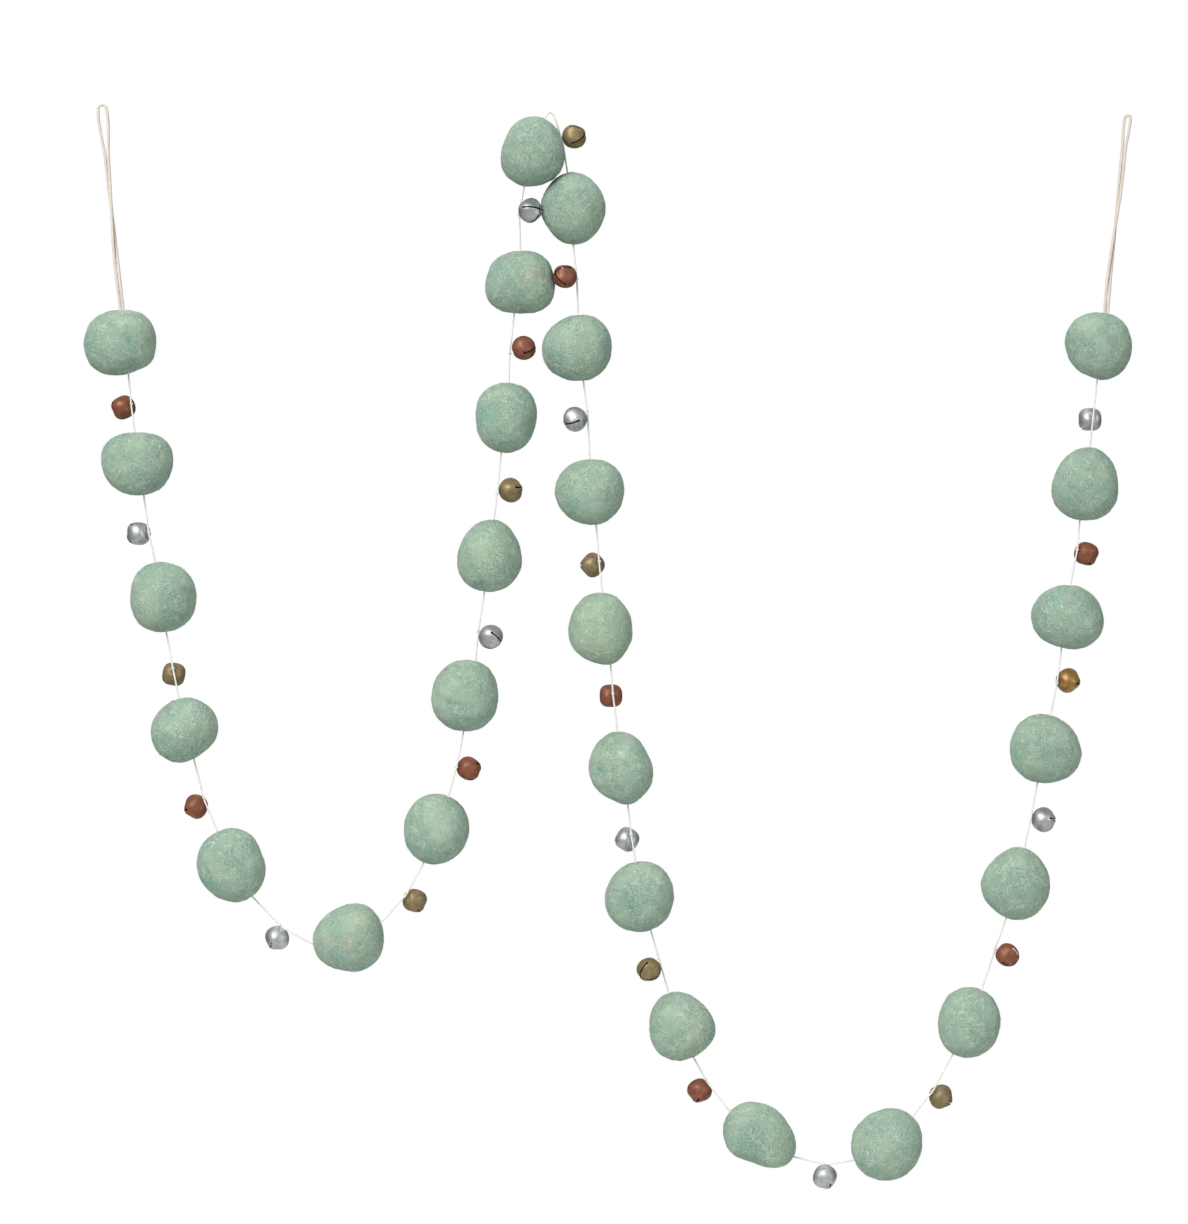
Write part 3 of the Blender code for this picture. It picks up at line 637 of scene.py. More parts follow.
PATCHES = {
    1: ((TEAL, -0.75, 0.0, 0.45, 0.7), (TEAL, 0.2, -0.8, 0.4, 0.5), (MOSS, 0.2, 0.1, 0.4, 0.4)),
    2: ((TEAL, -0.75, 0.0, 0.4, 0.6), (TEAL, 0.1, -0.4, 0.4, 0.5), (MOSS, 0.1, 0.5, 0.3, 0.8)),
    3: ((MOSS, 0.0, -0.1, 0.5, 0.4), (TEAL, 0.2, -0.8, 0.3, 0.5), (OAT, 0.1, -0.3, 0.2, 0.4)),
    4: ((TEAL, -0.7, -0.3, 0.45, 0.7), (OAT, 0.0, 0.0, 0.18, 0.5), (MOSS, 0.3, 0.2, 0.4, 0.5)),
    5: ((TEAL, -0.5, -0.6, 0.4, 0.9), (TEAL, 0.5, -0.2, 0.3, 0.6), (OAT, 0.1, 0.3, 0.25, 0.3)),
    6: ((OAT, -0.55, 0.0, 0.18, 1.0), (OAT, 0.1, -0.1, 0.24, 1.0), (OAT, 0.35, 0.5, 0.35, 0.7),
        (TEAL, -0.25, -0.5, 0.28, 1.0), (OAT, 0.8, -0.1, 0.3, 0.5), (MOSS, 0.3, 0.0, 0.7, 0.4)),
    7: ((TEAL, -0.75, -0.3, 0.4, 0.7), (TEAL, -0.1, -0.8, 0.4, 0.4)),
    8: ((MOSS, 0.0, 0.3, 0.5, 0.3), (TEAL, 0.1, -0.4, 0.2, 0.4)),
    9: ((MOSS, 0.0, 0.0, 0.9, 0.7), (TEAL, -0.3, -0.85, 0.25, 0.9), (OAT, 0.1, -0.5, 0.2, 0.4)),
    10: ((TEAL, -0.75, 0.0, 0.4, 1.0), (TEAL, 0.4, 0.6, 0.45, 0.5), (TEAL, 0.0, -0.7, 0.5, 0.5)),
    11: ((OAT, 0.4, 0.15, 0.3, 0.9), (TEAL, -0.6, 0.4, 0.35, 0.7), (TEAL, -0.7, -0.2, 0.3, 0.5)),
    12: ((OAT, -0.4, -0.1, 0.25, 0.5), (MOSS, 0.4, 0.5, 0.5, 0.5), (TEAL, 0.2, -0.8, 0.5, 0.5)),
    13: ((MOSS, 0.5, -0.4, 0.5, 0.5), (TEAL, -0.8, 0.2, 0.4, 0.5)),
    14: ((TEAL, -0.6, -0.4, 0.4, 0.8), (MOSS, 0.4, 0.1, 0.5, 0.6)),
    15: ((TEAL, -0.6, -0.4, 0.35, 0.6), (MOSS, 0.7, -0.5, 0.4, 0.4)),
    16: ((MOSS, 0.0, 0.0, 1.2, 1.0), (OAT, -0.1, -0.6, 0.25, 0.6)),
    17: ((TEAL, -0.65, -0.1, 0.22, 1.0), (TEAL, 0.4, -0.4, 0.6, 0.5), (MOSS, 0.0, 0.5, 0.4, 0.7)),
    18: ((TEAL, -0.3, 0.0, 0.6, 0.7), (MOSS, 0.7, -0.5, 0.4, 0.5)),
    19: ((OAT, 0.4, 0.1, 0.22, 0.9), (OAT, 0.2, -0.3, 0.2, 0.8), (MOSS, 0.0, 0.0, 0.9, 0.7)),
    20: ((TEAL, -0.4, -0.1, 0.5, 0.9), (TEAL, -0.3, -0.7, 0.45, 1.0), (MOSS, 0.7, 0.0, 0.4, 0.6)),
    21: ((TEAL, -0.5, -0.6, 0.5, 0.7), (TEAL, 0.5, 0.6, 0.3, 0.3)),
    22: ((MOSS, 0.7, 0.1, 0.4, 0.5), (TEAL, 0.1, 0.6, 0.3, 0.4)),
    23: ((TEAL, -0.7, 0.3, 0.35, 0.5), (OAT, 0.1, -0.6, 0.4, 0.4), (MOSS, -0.3, -0.2, 0.5, 0.4)),
    24: ((TEAL, -0.8, -0.1, 0.3, 0.7), (TEAL, 0.1, -0.8, 0.4, 0.7), (MOSS, -0.1, 0.6, 0.3, 0.7)),
    25: ((TEAL, -0.5, 0.5, 0.35, 0.9), (TEAL, 0.3, -0.7, 0.4, 0.5), (OAT, 0.1, 0.1, 0.2, 0.3)),
    26: ((MOSS, 0.2, 0.3, 0.5, 0.6), (TEAL, -0.6, -0.5, 0.4, 0.6)),
    27: ((TEAL, -0.6, 0.0, 0.4, 0.6), (MOSS, 0.4, 0.2, 0.5, 0.5), (TEAL, 0.3, -0.8, 0.4, 0.4)),
}
BACK_PATCHES = 3


class Hollow(NamedTuple):
    """A hollow pressed into a ball's front: its place in radii, its reach and its depth in millimetres."""

    ball: int
    right: float
    up: float
    reach: float
    depth: float


# Ball 8 has a fold across its lower third, made of a row of hollows
HOLLOWS = (
    Hollow(8, -0.8, -0.02, 2.0, 0.55), Hollow(8, -0.6, -0.14, 2.0, 0.75), Hollow(8, -0.38, -0.24, 1.9, 0.8),
    Hollow(8, -0.16, -0.32, 1.8, 0.75), Hollow(8, 0.06, -0.37, 1.8, 0.6), Hollow(8, 0.3, -0.38, 1.8, 0.4),
    Hollow(17, -0.65, -0.12, 2.6, 1.1), Hollow(1, 0.45, -0.05, 3.0, 0.5), Hollow(9, -0.25, -0.85, 3.0, 0.8),
    Hollow(19, 0.35, -0.65, 3.0, 0.5), Hollow(24, 0.2, -0.55, 3.0, 0.4), Hollow(14, -0.5, -0.45, 3.0, 0.45),
)


def round_blank():
    """A sphere of even squares, one unit in radius, that every ball starts from."""
    deselect()
    bpy.ops.mesh.primitive_cube_add(size=2)
    blank = bpy.context.object
    blank.name = "round_blank"
    bpy.ops.object.mode_set(mode="EDIT")
    bpy.ops.mesh.select_all(action="SELECT")
    bpy.ops.mesh.subdivide(number_cuts=BALL_CUTS)
    bpy.ops.object.mode_set(mode="OBJECT")
    cast = blank.modifiers.new("round", "CAST")
    cast.cast_type = "SPHERE"
    cast.factor = 1.0
    cast.use_radius_as_size = False
    cast.size = 1.0
    apply_modifiers(blank)
    return blank


def points_of(mesh):
    points = np.empty(len(mesh.vertices) * 3)
    mesh.vertices.foreach_get("co", points)
    return points.reshape(-1, 3)


def add_displace(obj, name, texture, strength):
    modifier = obj.modifiers.new(name, "DISPLACE")
    modifier.texture = texture
    modifier.strength = strength
    modifier.mid_level = 0.5
    modifier.texture_coords = "LOCAL"


def relief_textures():
    lumps = bpy.data.textures.new("felt_lumps", "CLOUDS")
    lumps.noise_scale = LUMP_SCALE
    lumps.noise_depth = 2
    pile = bpy.data.textures.new("felt_pile", "CLOUDS")
    pile.noise_scale = PILE_SCALE
    pile.noise_depth = 3
    return lumps, pile


def outline_radius(ball, angle):
    """The outline seen from the front: a smooth curve through the eight radii, with the ball's soft point."""
    radii = (ball.right, ball.upper_right, ball.top, ball.upper_left, ball.left, ball.lower_left, ball.bottom,
             ball.lower_right)
    count = len(radii)
    radius = sum(radii) / count
    for wave in range(1, count // 2 + 1):
        share = 2 / count if wave < count // 2 else 1 / count
        for k, measured in enumerate(radii):
            radius = radius + share * measured * np.cos(wave * (angle - math.tau * k / count))
    off = (angle - math.radians(ball.point_at) + math.pi) % math.tau - math.pi
    return radius + ball.point * np.exp(-(off / POINT_WIDTH) ** 2)


def ball_depth(ball):
    return BALL_DEPTH_SHARE * (ball.right + ball.top + ball.left + ball.bottom) / 4


def ball_surface(ball, number, x, y, z):
    """How far the felt reaches from the ball's middle in a unit direction, or in many."""
    angle = np.arctan2(z, x)
    across = np.hypot(x, z)
    share = (across / outline_radius(ball, angle)) ** BALL_FULLNESS
    share = share + (abs(y) / ball_depth(ball)) ** BALL_FULLNESS
    lump = 1 + BALL_LUMP * y * np.sin(2 * angle + number) * across
    return lump * share ** (-1 / BALL_FULLNESS)


def thread_hole(ball, number, angle, away):
    """Where the thread meets the felt, from the ball's middle."""
    middle = Vector((math.cos(math.radians(angle)), 0, math.sin(math.radians(angle))))
    toward = (middle * outline_radius(ball, math.radians(angle)) + Vector((0, away, 0))).normalized()
    return toward * ball_surface(ball, number, *toward)


def thread_holes(number):
    """Where the thread enters and leaves a ball, in millimetres."""
    ball = BALLS[number - 1]
    middle = Vector((ball.x, ball.away, ball.z))
    entry = thread_hole(ball, number, ball.thread_in, THREAD_AWAY_IN.get(number, 0))
    leaving = thread_hole(ball, number, ball.thread_out, THREAD_AWAY_OUT.get(number, 0))
    return middle + entry, middle + leaving


def front_direction(right, up):
    """The unit direction of a place on the front, from its distance right and up in radii."""
    return np.array([right, -math.sqrt(max(1 - right ** 2 - up ** 2, 0.0)), up])


def press_hollows(toward, felt, number):
    """Pushes the felt in where the thread pulls into it and where it was pressed while it was rolled."""
    ball = BALLS[number - 1]
    middle = np.array([ball.x, ball.away, ball.z])
    presses = [(np.array(hole) - middle, DIMPLE_R, DIMPLE_DEPTH) for hole in thread_holes(number)]
    for hollow in HOLLOWS:
        if hollow.ball == number:
            place = front_direction(hollow.right, hollow.up)
            presses.append((place * ball_surface(ball, number, *place), hollow.reach, hollow.depth))
    for place, reach, depth in presses:
        near = np.exp(-(np.linalg.norm(felt - place, axis=1) / reach) ** 2)
        felt = felt - toward * (depth * near)[:, None]
    return felt


def blend_wools(mesh, toward, number):
    """Writes how much teal, oat and moss wool shows at each point, with patches like the front's behind."""
    draw = np.random.default_rng(700 + number)
    patches = [Patch(*row) for row in PATCHES[number]]
    placed = [(front_direction(patch.right, patch.up), patch) for patch in patches]
    for k in range(BACK_PATCHES):
        right, up = draw.uniform(-0.6, 0.6, 2)
        behind = front_direction(right, up) * np.array([1, -1, 1])
        placed.append((behind, patches[k % len(patches)]))
    amount = np.zeros((len(toward), 4))
    amount[:, 3] = 1
    for place, patch in placed:
        place = place / np.linalg.norm(place)
        reached = np.exp(-(np.linalg.norm(toward - place, axis=1) / patch.reach) ** 2)
        channel = (TEAL, OAT, MOSS).index(patch.wool)
        amount[:, channel] = np.maximum(amount[:, channel], patch.strength * reached)
    mix = mesh.color_attributes.new("wool_blend", "FLOAT_COLOR", "POINT")
    mix.data.foreach_set("color", amount.ravel())


def felt_ball(number, blank, textures, materials):
    row = BALLS[number - 1]
    ball = copy_of(blank, f"felt_{number:02d}")
    toward = points_of(ball.data)
    toward = toward / np.linalg.norm(toward, axis=1, keepdims=True)
    felt = toward * ball_surface(row, number, *toward.T)[:, None]
    felt = press_hollows(toward, felt, number)
    place = (felt + np.array([row.x, row.away, row.z])) * MM
    ball.data.vertices.foreach_set("co", place.ravel())
    ball.data.update()
    blend_wools(ball.data, toward, number)
    lumps, pile = textures
    add_displace(ball, "lumps", lumps, LUMP_STRENGTH)
    add_displace(ball, "pile", pile, PILE_STRENGTH)
    apply_modifiers(ball)
    pick(ball)
    bpy.ops.object.shade_smooth()
    finish_piece(ball, materials["felt"])
    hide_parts(f"felt_ball_{number:02d}")
    return ball


def swirl_at(place, phase):
    """The way the wool lies round a place: it turns slowly from one part of the ball to the next."""
    wave = place / (SWIRL_SIZE * MM)
    return Vector((math.sin(wave.y + phase) + math.cos(1.3 * wave.z),
                   math.sin(wave.z + 2 * phase) + math.cos(wave.x),
                   math.sin(1.2 * wave.x + 3 * phase) + math.cos(wave.y - phase)))


def surface_strands(number, ball, materials):
    """Pale fibres felted into the surface: thin ribbons that follow the ball, with both ends tucked in."""
    draw = np.random.default_rng(300 + number)
    tree = BVHTree.FromObject(ball, bpy.context.evaluated_depsgraph_get())
    polygons = ball.data.polygons
    points, faces = [], []
    for index in draw.choice(len(polygons), STRAND_COUNT, replace=False):
        place, normal = polygons[index].center.copy(), polygons[index].normal.copy()
        heading = normal.cross(swirl_at(place, number)).normalized()
        heading.rotate(Quaternion(normal, draw.normal(0, 0.55)))
        step = draw.uniform(*STRAND_STEP) * MM
        curl = draw.normal(0, 0.28)
        top = draw.uniform(*STRAND_LIFT) * MM
        first = len(points)
        for k in range(STRAND_STEPS + 1):
            rise = math.sin(math.pi * k / STRAND_STEPS) * (top + 0.06 * MM) - 0.06 * MM
            half = heading.cross(normal).normalized() * STRAND_W / 2 * MM
            points += [place + normal * rise - half, place + normal * rise + half]
            if k < STRAND_STEPS:
                low = first + 2 * k
                faces.append((low, low + 1, low + 3, low + 2))
                heading.rotate(Quaternion(normal, curl))
                place, normal, _, _ = tree.find_nearest(place + heading * step)
                heading = (heading - normal * heading.dot(normal)).normalized()
    add_fibres(f"strands_{number:02d}", points, faces, materials)


def add_fibres(name, points, faces, materials):
    mesh = bpy.data.meshes.new(name)
    mesh.from_pydata(points, [], faces)
    fibres = bpy.data.objects.new(name, mesh)
    bpy.context.scene.collection.objects.link(fibres)
    finish_piece(fibres, materials["fuzz"])


def fibre_fuzz(number, ball, materials):
    """Loose fibres that leave the felt at a low angle and curl, three-sided and closed."""
    draw = np.random.default_rng(100 + number)
    mesh = ball.data
    count = len(mesh.polygons)
    centres = np.empty(count * 3)
    normals = np.empty(count * 3)
    mesh.polygons.foreach_get("center", centres)
    mesh.polygons.foreach_get("normal", normals)
    chosen = draw.choice(count, FUZZ_COUNT, replace=False)
    root = centres.reshape(-1, 3)[chosen]
    out = normals.reshape(-1, 3)[chosen]
    along = np.cross(out, draw.normal(size=(FUZZ_COUNT, 3)))
    along /= np.linalg.norm(along, axis=1, keepdims=True)
    side = np.cross(out, along)
    length = draw.uniform(*FUZZ_LENGTH, (FUZZ_COUNT, 1)) * MM
    lift = draw.uniform(0.15, 0.75, (FUZZ_COUNT, 1)) ** 1.5
    curl = draw.uniform(-0.6, 0.6, (FUZZ_COUNT, 1))
    middle = root + length * (0.5 * along + 0.62 * lift * out)
    tip = root + length * (0.95 * along * (1 - 0.4 * lift) + 0.8 * lift * out + curl * side)
    root = root - out * FUZZ_R * 3 * MM
    rings = []
    for centre, radius in ((root, FUZZ_R * MM), (middle, FUZZ_R * 0.8 * MM)):
        for k in range(3):
            angle = math.tau * k / 3
            rings.append(centre + radius * (math.cos(angle) * side + math.sin(angle) * out))
    points = np.stack(rings + [tip], axis=1).reshape(-1, 3)
    fibre = [(2, 1, 0), (0, 1, 4, 3), (1, 2, 5, 4), (2, 0, 3, 5), (3, 4, 6), (4, 5, 6), (5, 3, 6)]
    faces = [tuple(7 * n + k for k in face) for n in range(FUZZ_COUNT) for face in fibre]
    add_fibres(f"fuzz_{number:02d}", points.tolist(), faces, materials)


def build_balls(materials):
    blank = round_blank()
    textures = relief_textures()
    for number in range(1, len(BALLS) + 1):
        ball = felt_ball(number, blank, textures, materials)
        surface_strands(number, ball, materials)
        fibre_fuzz(number, ball, materials)
    bpy.data.objects.remove(blank, do_unlink=True)


# Bells: +Z of a bell's own frame points from its middle to its strap, whose opening runs along X


def cutter_box(size, middle):
    bpy.ops.mesh.primitive_cube_add(size=1, location=middle)
    box = bpy.context.object
    box.dimensions = size
    pick(box)
    bpy.ops.object.transform_apply(location=True, rotation=True, scale=True)
    return box


def bell_body(outside, inside):
    """The hollow body, slit at 0, 90, 180 and 270 degrees: a sphere folded into petals and thickened."""
    deselect()
    bpy.ops.mesh.primitive_uv_sphere_add(segments=40, ring_count=20, radius=BELL_R * MM)
    body = bpy.context.object
    body.name = "bell_body"
    for vertex in body.data.vertices:
        polar = math.acos(max(-1.0, min(1.0, vertex.co.z / (BELL_R * MM))))
        folded = math.sin(math.pi * max(polar - FOLD_START, 0.0) / (math.pi - FOLD_START))
        azimuth = math.atan2(vertex.co.y, vertex.co.x)
        vertex.co *= 1 + PETAL_CORNER * folded * math.cos(4 * azimuth)
        if vertex.co.z > 0:
            across = math.hypot(vertex.co.x / (HOLLOW_L * MM), vertex.co.y / (HOLLOW_W * MM))
            vertex.co.z -= HOLLOW_DEPTH * MM * math.exp(-across ** 2)
    thicken = body.modifiers.new("wall", "SOLIDIFY")
    thicken.thickness = BELL_WALL * MM
    thicken.offset = -1
    # The inner faces take the second material, near-black painted shade for the dark inside of the bell
    thicken.material_offset = 1
    body.data.materials.append(outside)
    body.data.materials.append(inside)
    apply_modifiers(body)
    reach = 2.4 * BELL_R * MM
    cutters = []
    for size in ((reach, SLIT_W * MM, BELL_R * MM * 1.2), (SLIT_W * MM, reach, BELL_R * MM * 1.2)):
        cutters.append(cutter_box(size, (0, 0, -0.65 * BELL_R * MM)))
    for turn in (0, math.pi / 2):
        bpy.ops.mesh.primitive_cylinder_add(vertices=20, radius=SLIT_HOLE_D / 2 * MM, depth=reach,
                                            location=(0, 0, -SLIT_HOLE_DROP * BELL_R * MM),
                                            rotation=(0, math.pi / 2, turn))
        rod = bpy.context.object
        pick(rod)
        bpy.ops.object.transform_apply(location=True, rotation=True, scale=True)
        cutters.append(rod)
    for k, cutter in enumerate(cutters):
        cut = body.modifiers.new(f"slit_{k}", "BOOLEAN")
        cut.operation = "DIFFERENCE"
        cut.object = cutter
    soften = body.modifiers.new("cut_edges", "BEVEL")
    soften.width = 0.07 * MM
    soften.segments = 1
    soften.limit_method = "ANGLE"
    soften.angle_limit = math.radians(50)
    apply_modifiers(body)
    for cutter in cutters:
        bpy.data.objects.remove(cutter, do_unlink=True)
    pick(body)
    bpy.ops.object.shade_smooth_by_angle(angle=math.radians(35))
    return body


def bell_strap(outside):
    """The strap: a small rounded rectangle spun over from foot to foot."""
    deselect()
    mesh = bpy.data.meshes.new("bell_strap")
    strap = bpy.data.objects.new("bell_strap", mesh)
    strap.data.materials.append(outside)
    bpy.context.scene.collection.objects.link(strap)
    foot = STRAP_SPAN / 2 + STRAP_WALL / 2
    work = bmesh.new()
    corners = [(-STRAP_W / 2, foot - STRAP_WALL / 2), (STRAP_W / 2, foot - STRAP_WALL / 2),
               (STRAP_W / 2, foot + STRAP_WALL / 2), (-STRAP_W / 2, foot + STRAP_WALL / 2)]
    work.faces.new([work.verts.new((x * MM, y * MM, 0)) for x, y in corners])
    work.to_mesh(mesh)
    work.free()
    pick(strap)
    bpy.ops.object.mode_set(mode="EDIT")
    bpy.ops.mesh.select_all(action="SELECT")
    bpy.ops.mesh.spin(steps=18, angle=math.pi, center=(0, 0, 0), axis=(1, 0, 0))
    bpy.ops.mesh.select_all(action="SELECT")
    bpy.ops.mesh.remove_doubles(threshold=1e-6)
    bpy.ops.mesh.normals_make_consistent(inside=False)
    bpy.ops.object.mode_set(mode="OBJECT")
    rise = (STRAP_OPENING + STRAP_WALL / 2) / foot
    sunk = (BELL_R - 0.3) * MM
    strap.data.transform(Matrix.Translation((0, 0, sunk)) @ Matrix.Diagonal((1, 1, rise + 0.12, 1)))
    bevel = strap.modifiers.new("rounded", "BEVEL")
    bevel.width = 0.13 * MM
    bevel.segments = 3
    bevel.limit_method = "ANGLE"
    bevel.angle_limit = math.radians(50)
    apply_modifiers(strap)
    pick(strap)
    bpy.ops.object.shade_smooth_by_angle(angle=math.radians(40))
    return strap


def loose_pellet(inside):
    """The pellet that lies in a bell, a sphere with its poles pressed a little flat."""
    deselect()
    bpy.ops.mesh.primitive_uv_sphere_add(segments=16, ring_count=8, radius=PELLET_R * MM)
    pellet = bpy.context.object
    pellet.data.transform(Matrix.Diagonal((1, 1, 0.96, 1)))
    # The pellet is near-black, painted shade like the bell's inside
    pellet.data.materials.append(inside)
    pick(pellet)
    bpy.ops.object.shade_smooth()
    return pellet


def thread_beside(number):
    """The thread's points just before and after a bell's strap."""
    if number == HOOK_AFTER_BALL:
        return OVER_THE_HOOK[-1], BEHIND_BALL_12
    return thread_holes(number)[1], thread_holes(number + 1)[0]


def ring_point(number):
    bell = BELLS[number - 1]
    return Vector((bell.x, bell.away, bell.z))


def bell_placement(number):
    """The bell's own frame in the garland's: its middle, and axes set by the shank and by the thread."""
    bell = BELLS[number - 1]
    flat = Vector((bell.x - bell.body_x, 0, bell.z - bell.body_z))
    depth = math.sqrt(max(RING_REACH ** 2 - flat.length_squared, 0))
    shank = (flat + Vector((0, bell.in_front * depth, 0))).normalized()
    before, after = thread_beside(number)
    run = after - before
    opening = (run - shank * run.dot(shank)).normalized()
    turn = Matrix((opening, shank.cross(opening), shank)).transposed().to_4x4()
    return Matrix.Translation((ring_point(number) - shank * RING_REACH) * MM) @ turn


def build_bells(materials):
    body, strap = bell_body(materials[COPPER], materials[PAINTED_SHADE_INSIDE]), bell_strap(materials[COPPER])
    pellet = loose_pellet(materials[PAINTED_SHADE_INSIDE])
    for number, row in enumerate(BELLS, 1):
        bell = copy_of(body, f"jingle_bell_{number:02d}")
        bell.data.transform(Matrix.Rotation(math.radians(row.slit_turn), 4, "Z"))
        placement = bell_placement(number)
        handle, ball = copy_of(strap, "handle"), copy_of(pellet, "ball")
        down = placement.to_3x3().inverted() @ Vector((0, 0, -1))
        ball.data.transform(Matrix.Translation(down * (BELL_R * 0.94 - BELL_WALL - PELLET_R) * MM))
        deselect()
        handle.select_set(True)
        ball.select_set(True)
        bell.select_set(True)
        bpy.context.view_layer.objects.active = bell
        bpy.ops.object.join()
        place_in_mesh(bell, placement)
        bell.data.materials[0] = materials[WARM if number == WARM_BELL else row.finish]
        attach(bell, BODY)
        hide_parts(f"bell_{number:02d}")
    for pattern in (body, strap, pellet):
        bpy.data.objects.remove(pattern, do_unlink=True)


# Thread, knots and loops


def thread_route():
    """The thread's points in order, in millimetres."""
    points = []
    for number in range(1, len(BALLS) + 1):
        entry, leaving = thread_holes(number)
        axis = (leaving - entry).normalized()
        if number == 1:
            entry += axis * (CORD_SOCKET + END_GAP)
        if number == len(BALLS):
            leaving -= axis * (CORD_SOCKET + END_GAP)
        points += [entry, leaving]
        if number == HOOK_AFTER_BALL:
            points += list(OVER_THE_HOOK)
        if number < len(BALLS):
            points.append(ring_point(number))
        if number == HOOK_AFTER_BALL:
            points.append(BEHIND_BALL_12)
    return points


def smooth_at(points, share):
    """A point on the smooth curve through these points, at a share of the way through them."""
    place = share * (len(points) - 1)
    k = min(int(place), len(points) - 2)
    t = place - k
    before = points[k - 1] if k > 0 else 2 * points[0] - points[1]
    after = points[k + 2] if k + 2 < len(points) else 2 * points[-1] - points[-2]
    slope_in = (points[k + 1] - before) / 2
    slope_out = (after - points[k]) / 2
    rise = 3 * t ** 2 - 2 * t ** 3
    return (points[k] * (1 - rise) + points[k + 1] * rise + slope_in * (t - 2 * t ** 2 + t ** 3)
            + slope_out * (t ** 3 - t ** 2))


def loop_route(mouth, inward, middles, eye_top, eye_w):
    """One cord: up one leg, round the eye and down the other, the legs turning gently about each other."""
    socket = mouth + inward * (CORD_SOCKET - END_GAP)
    line = [socket, mouth - inward * LOOP_STEM] + list(middles)
    away = Vector((0, 1, 0))
    side = (middles[-1] - middles[-2]).cross(away).normalized()
    legs = ([], [])
    for k in range(LEG_POINTS):
        share = k / (LEG_POINTS - 1)
        middle = smooth_at(line, share)
        turned = math.tau * LEG_TURNS * (1 - share)
        across = side * math.cos(turned) + away * math.sin(turned)
        legs[0].append(middle + across * (LEG_SPACING / 2))
        legs[1].append(middle - across * (LEG_SPACING / 2))
    base = middles[-1]
    rise = eye_top - base
    eyes = ([], [])
    for k in range(1, EYE_POINTS + 1):
        angle = math.pi * k / (EYE_POINTS + 1)
        opened = (math.sin(angle) * math.sin(angle / 2) ** 2 / EYE_PEAK) ** EYE_SQUARENESS
        half = side * (LEG_SPACING / 2 * (1 - opened) + eye_w / 2 * opened)
        middle = base + rise * (1 - math.cos(angle)) / 2
        eyes[0].append(middle + half)
        eyes[1].append(middle - half)
    return legs[0] + eyes[0] + [eye_top] + list(reversed(legs[1] + eyes[1]))


def evenly_spaced(points, spacing):
    """Points this far apart along straight runs between the given points, all in metres."""
    points = np.array([tuple(point) for point in points]) * MM
    runs = np.linalg.norm(np.diff(points, axis=0), axis=1)
    reached = np.concatenate([[0], np.cumsum(runs)])
    wanted = np.linspace(0, reached[-1], max(2, round(reached[-1] / spacing)))
    return np.stack([np.interp(wanted, reached, points[:, k]) for k in range(3)], axis=1)


def eased(points, reach):
    """The same line with its corners rounded over this many points each way."""
    padded = np.pad(points, ((reach, reach), (0, 0)), mode="reflect", reflect_type="odd")
    window = np.hanning(2 * reach + 3)[1:-1]
    window /= window.sum()
    return np.stack([np.convolve(padded[:, k], window, mode="valid") for k in range(3)], axis=1)


def plied_tube(name, line, diameter, pitch, plies, sides, groove):
    """A closed tube whose section bulges for each ply, or is round without a groove, and turns as it goes."""
    tangent = np.gradient(line, axis=0)
    tangent /= np.linalg.norm(tangent, axis=1, keepdims=True)
    across = np.empty_like(line)
    start = np.cross(tangent[0], (0.0, 1.0, 0.0))
    across[0] = start / np.linalg.norm(start)
    for k in range(1, len(line)):
        carried = across[k - 1] - tangent[k] * across[k - 1].dot(tangent[k])
        across[k] = carried / np.linalg.norm(carried)
    other = np.cross(tangent, across)
    travelled = np.concatenate([[0], np.cumsum(np.linalg.norm(np.diff(line, axis=0), axis=1))])
    turn = (math.tau * travelled / pitch)[:, None]
    angle = np.linspace(0, math.tau, sides, endpoint=False)[None, :]
    radius = diameter / 2 * (1 - groove * (0.5 - 0.5 * np.cos(plies * angle)))
    whirl = angle + turn
    ring = radius[..., None] * (np.cos(whirl)[..., None] * across[:, None, :]
                                + np.sin(whirl)[..., None] * other[:, None, :])
    points = (line[:, None, :] + ring).reshape(-1, 3)
    faces = []
    for k in range(len(line) - 1):
        low, high = k * sides, (k + 1) * sides
        for i in range(sides):
            j = (i + 1) % sides
            faces.append((low + i, low + j, high + j, high + i))
    last = (len(line) - 1) * sides
    faces.append(tuple(range(sides - 1, -1, -1)))
    faces.append(tuple(range(last, last + sides)))
    mesh = bpy.data.meshes.new(name)
    mesh.from_pydata(points.tolist(), [], faces)
    tube = bpy.data.objects.new(name, mesh)
    bpy.context.scene.collection.objects.link(tube)
    pick(tube)
    bpy.ops.object.mode_set(mode="EDIT")
    bpy.ops.mesh.select_all(action="SELECT")
    bpy.ops.mesh.normals_make_consistent(inside=False)
    bpy.ops.object.mode_set(mode="OBJECT")
    bpy.ops.object.shade_smooth()
    return tube


def knot_line(scale):
    """A half knot: a small three-lobed winding, closed on itself."""
    turn = np.linspace(0, math.tau, 37)
    line = np.stack([np.sin(turn) + 2 * np.sin(2 * turn), np.cos(turn) - 2 * np.cos(2 * turn),
                     -np.sin(3 * turn)], axis=1)
    return line * scale * np.array([1.0, 1.0, 1.4])


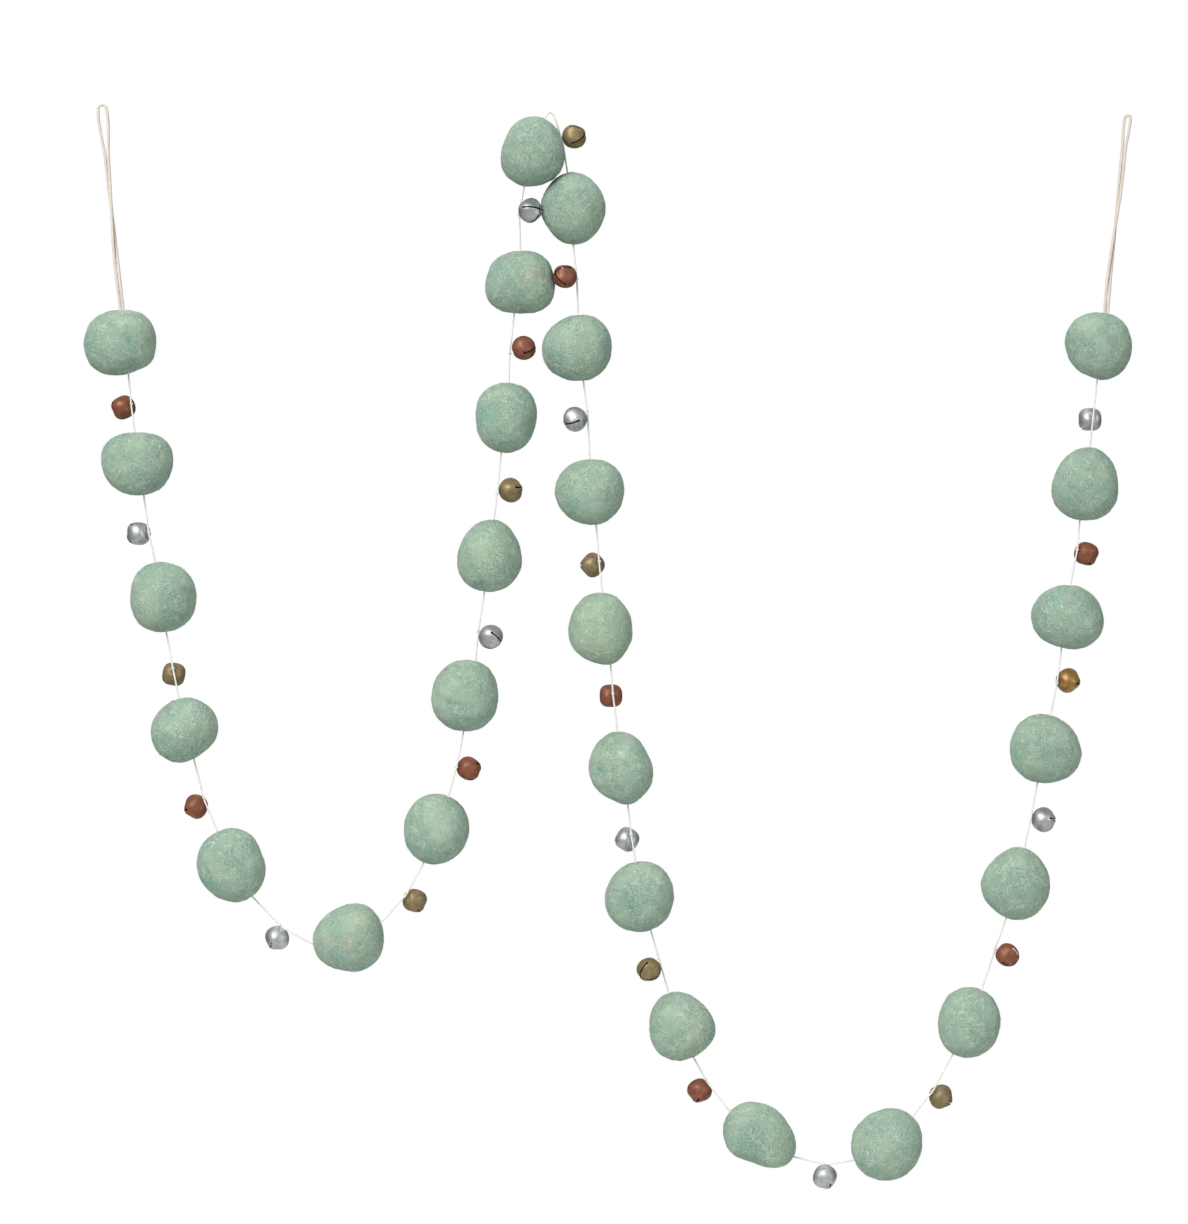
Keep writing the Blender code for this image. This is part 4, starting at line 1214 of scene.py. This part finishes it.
def build_knots(materials):
    """A small knot on the thread at each strap, and short thread ends where they lie over the felt."""
    pattern = plied_tube("knot_pattern", knot_line(0.2 * MM), THREAD_D * 0.7 * MM, 2.4 * MM, 2, 6, 0.05)
    knots = []
    for number in range(1, len(BELLS) + 1):
        ring = ring_point(number)
        run = (thread_beside(number)[0] - ring).normalized()
        knot = copy_of(pattern, "knot")
        turn = run.to_track_quat("Z", "Y").to_matrix().to_4x4() @ Matrix.Rotation(number * 1.3, 4, "Z")
        place_in_mesh(knot, Matrix.Translation((ring + run * (STRAP_W / 2 + 0.45)) * MM) @ turn)
        knots.append(knot)
    for number in THREAD_ENDS:
        ball = BALLS[number - 1]
        hole = thread_holes(number)[1]
        inward = (Vector((ball.x, ball.away, ball.z)) - hole).normalized()
        front = Vector((0, -1, 0))
        line = [hole - inward * 0.8 + front * 0.3, hole + inward * 0.2 + front * 1.2,
                hole + inward * 1.6 + front * 3.6]
        spaced = eased(evenly_spaced(line, 0.3 * MM), 2)
        knots.append(plied_tube("thread_end", spaced, THREAD_D * 1.1 * MM, 2.6 * MM, 2, 8, 0.12))
    deselect()
    for knot in knots:
        knot.select_set(True)
    bpy.context.view_layer.objects.active = knots[0]
    bpy.ops.object.join()
    joined = bpy.context.object
    joined.name = joined.data.name = "thread_knots"
    bpy.data.objects.remove(pattern, do_unlink=True)
    return finish_piece(joined, materials["thread"])


def build_cords(materials):
    line = eased(evenly_spaced(thread_route(), 0.45 * MM), 3)
    thread = plied_tube("strung_thread", line, THREAD_D * MM, 6.0 * MM, 2, 8, 0.0)
    finish_piece(thread, materials["thread"])
    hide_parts("thread")
    knots = build_knots(materials)
    first_in, first_out = thread_holes(1)
    last_in, last_out = thread_holes(len(BALLS))
    ends = (
        ("left_loop", first_in, (first_out - first_in).normalized(), LEFT_LOOP, LEFT_EYE_TOP, LEFT_EYE_W),
        ("right_loop", last_out, (last_in - last_out).normalized(), RIGHT_LOOP, RIGHT_EYE_TOP, RIGHT_EYE_W),
    )
    for name, mouth, inward, middles, eye_top, eye_w in ends:
        route = loop_route(mouth, inward, middles, eye_top, eye_w)
        line = eased(evenly_spaced(route, 0.35 * MM), 6)
        cord = plied_tube(f"{name}_cord", line, CORD_W * MM, 3.4 * MM, 3, 12, 0.025)
        finish_piece(cord, materials["loop_cord"])
        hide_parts(name)


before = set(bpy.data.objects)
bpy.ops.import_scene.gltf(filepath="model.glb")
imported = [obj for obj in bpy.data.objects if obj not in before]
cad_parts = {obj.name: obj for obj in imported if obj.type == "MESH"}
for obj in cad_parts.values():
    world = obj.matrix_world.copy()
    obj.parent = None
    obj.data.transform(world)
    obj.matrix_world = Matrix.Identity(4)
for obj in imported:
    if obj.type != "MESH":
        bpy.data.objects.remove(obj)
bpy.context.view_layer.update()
deselect()
add_studio()
finishes = make_materials()
build_cords(finishes)
build_balls(finishes)
build_bells(finishes)
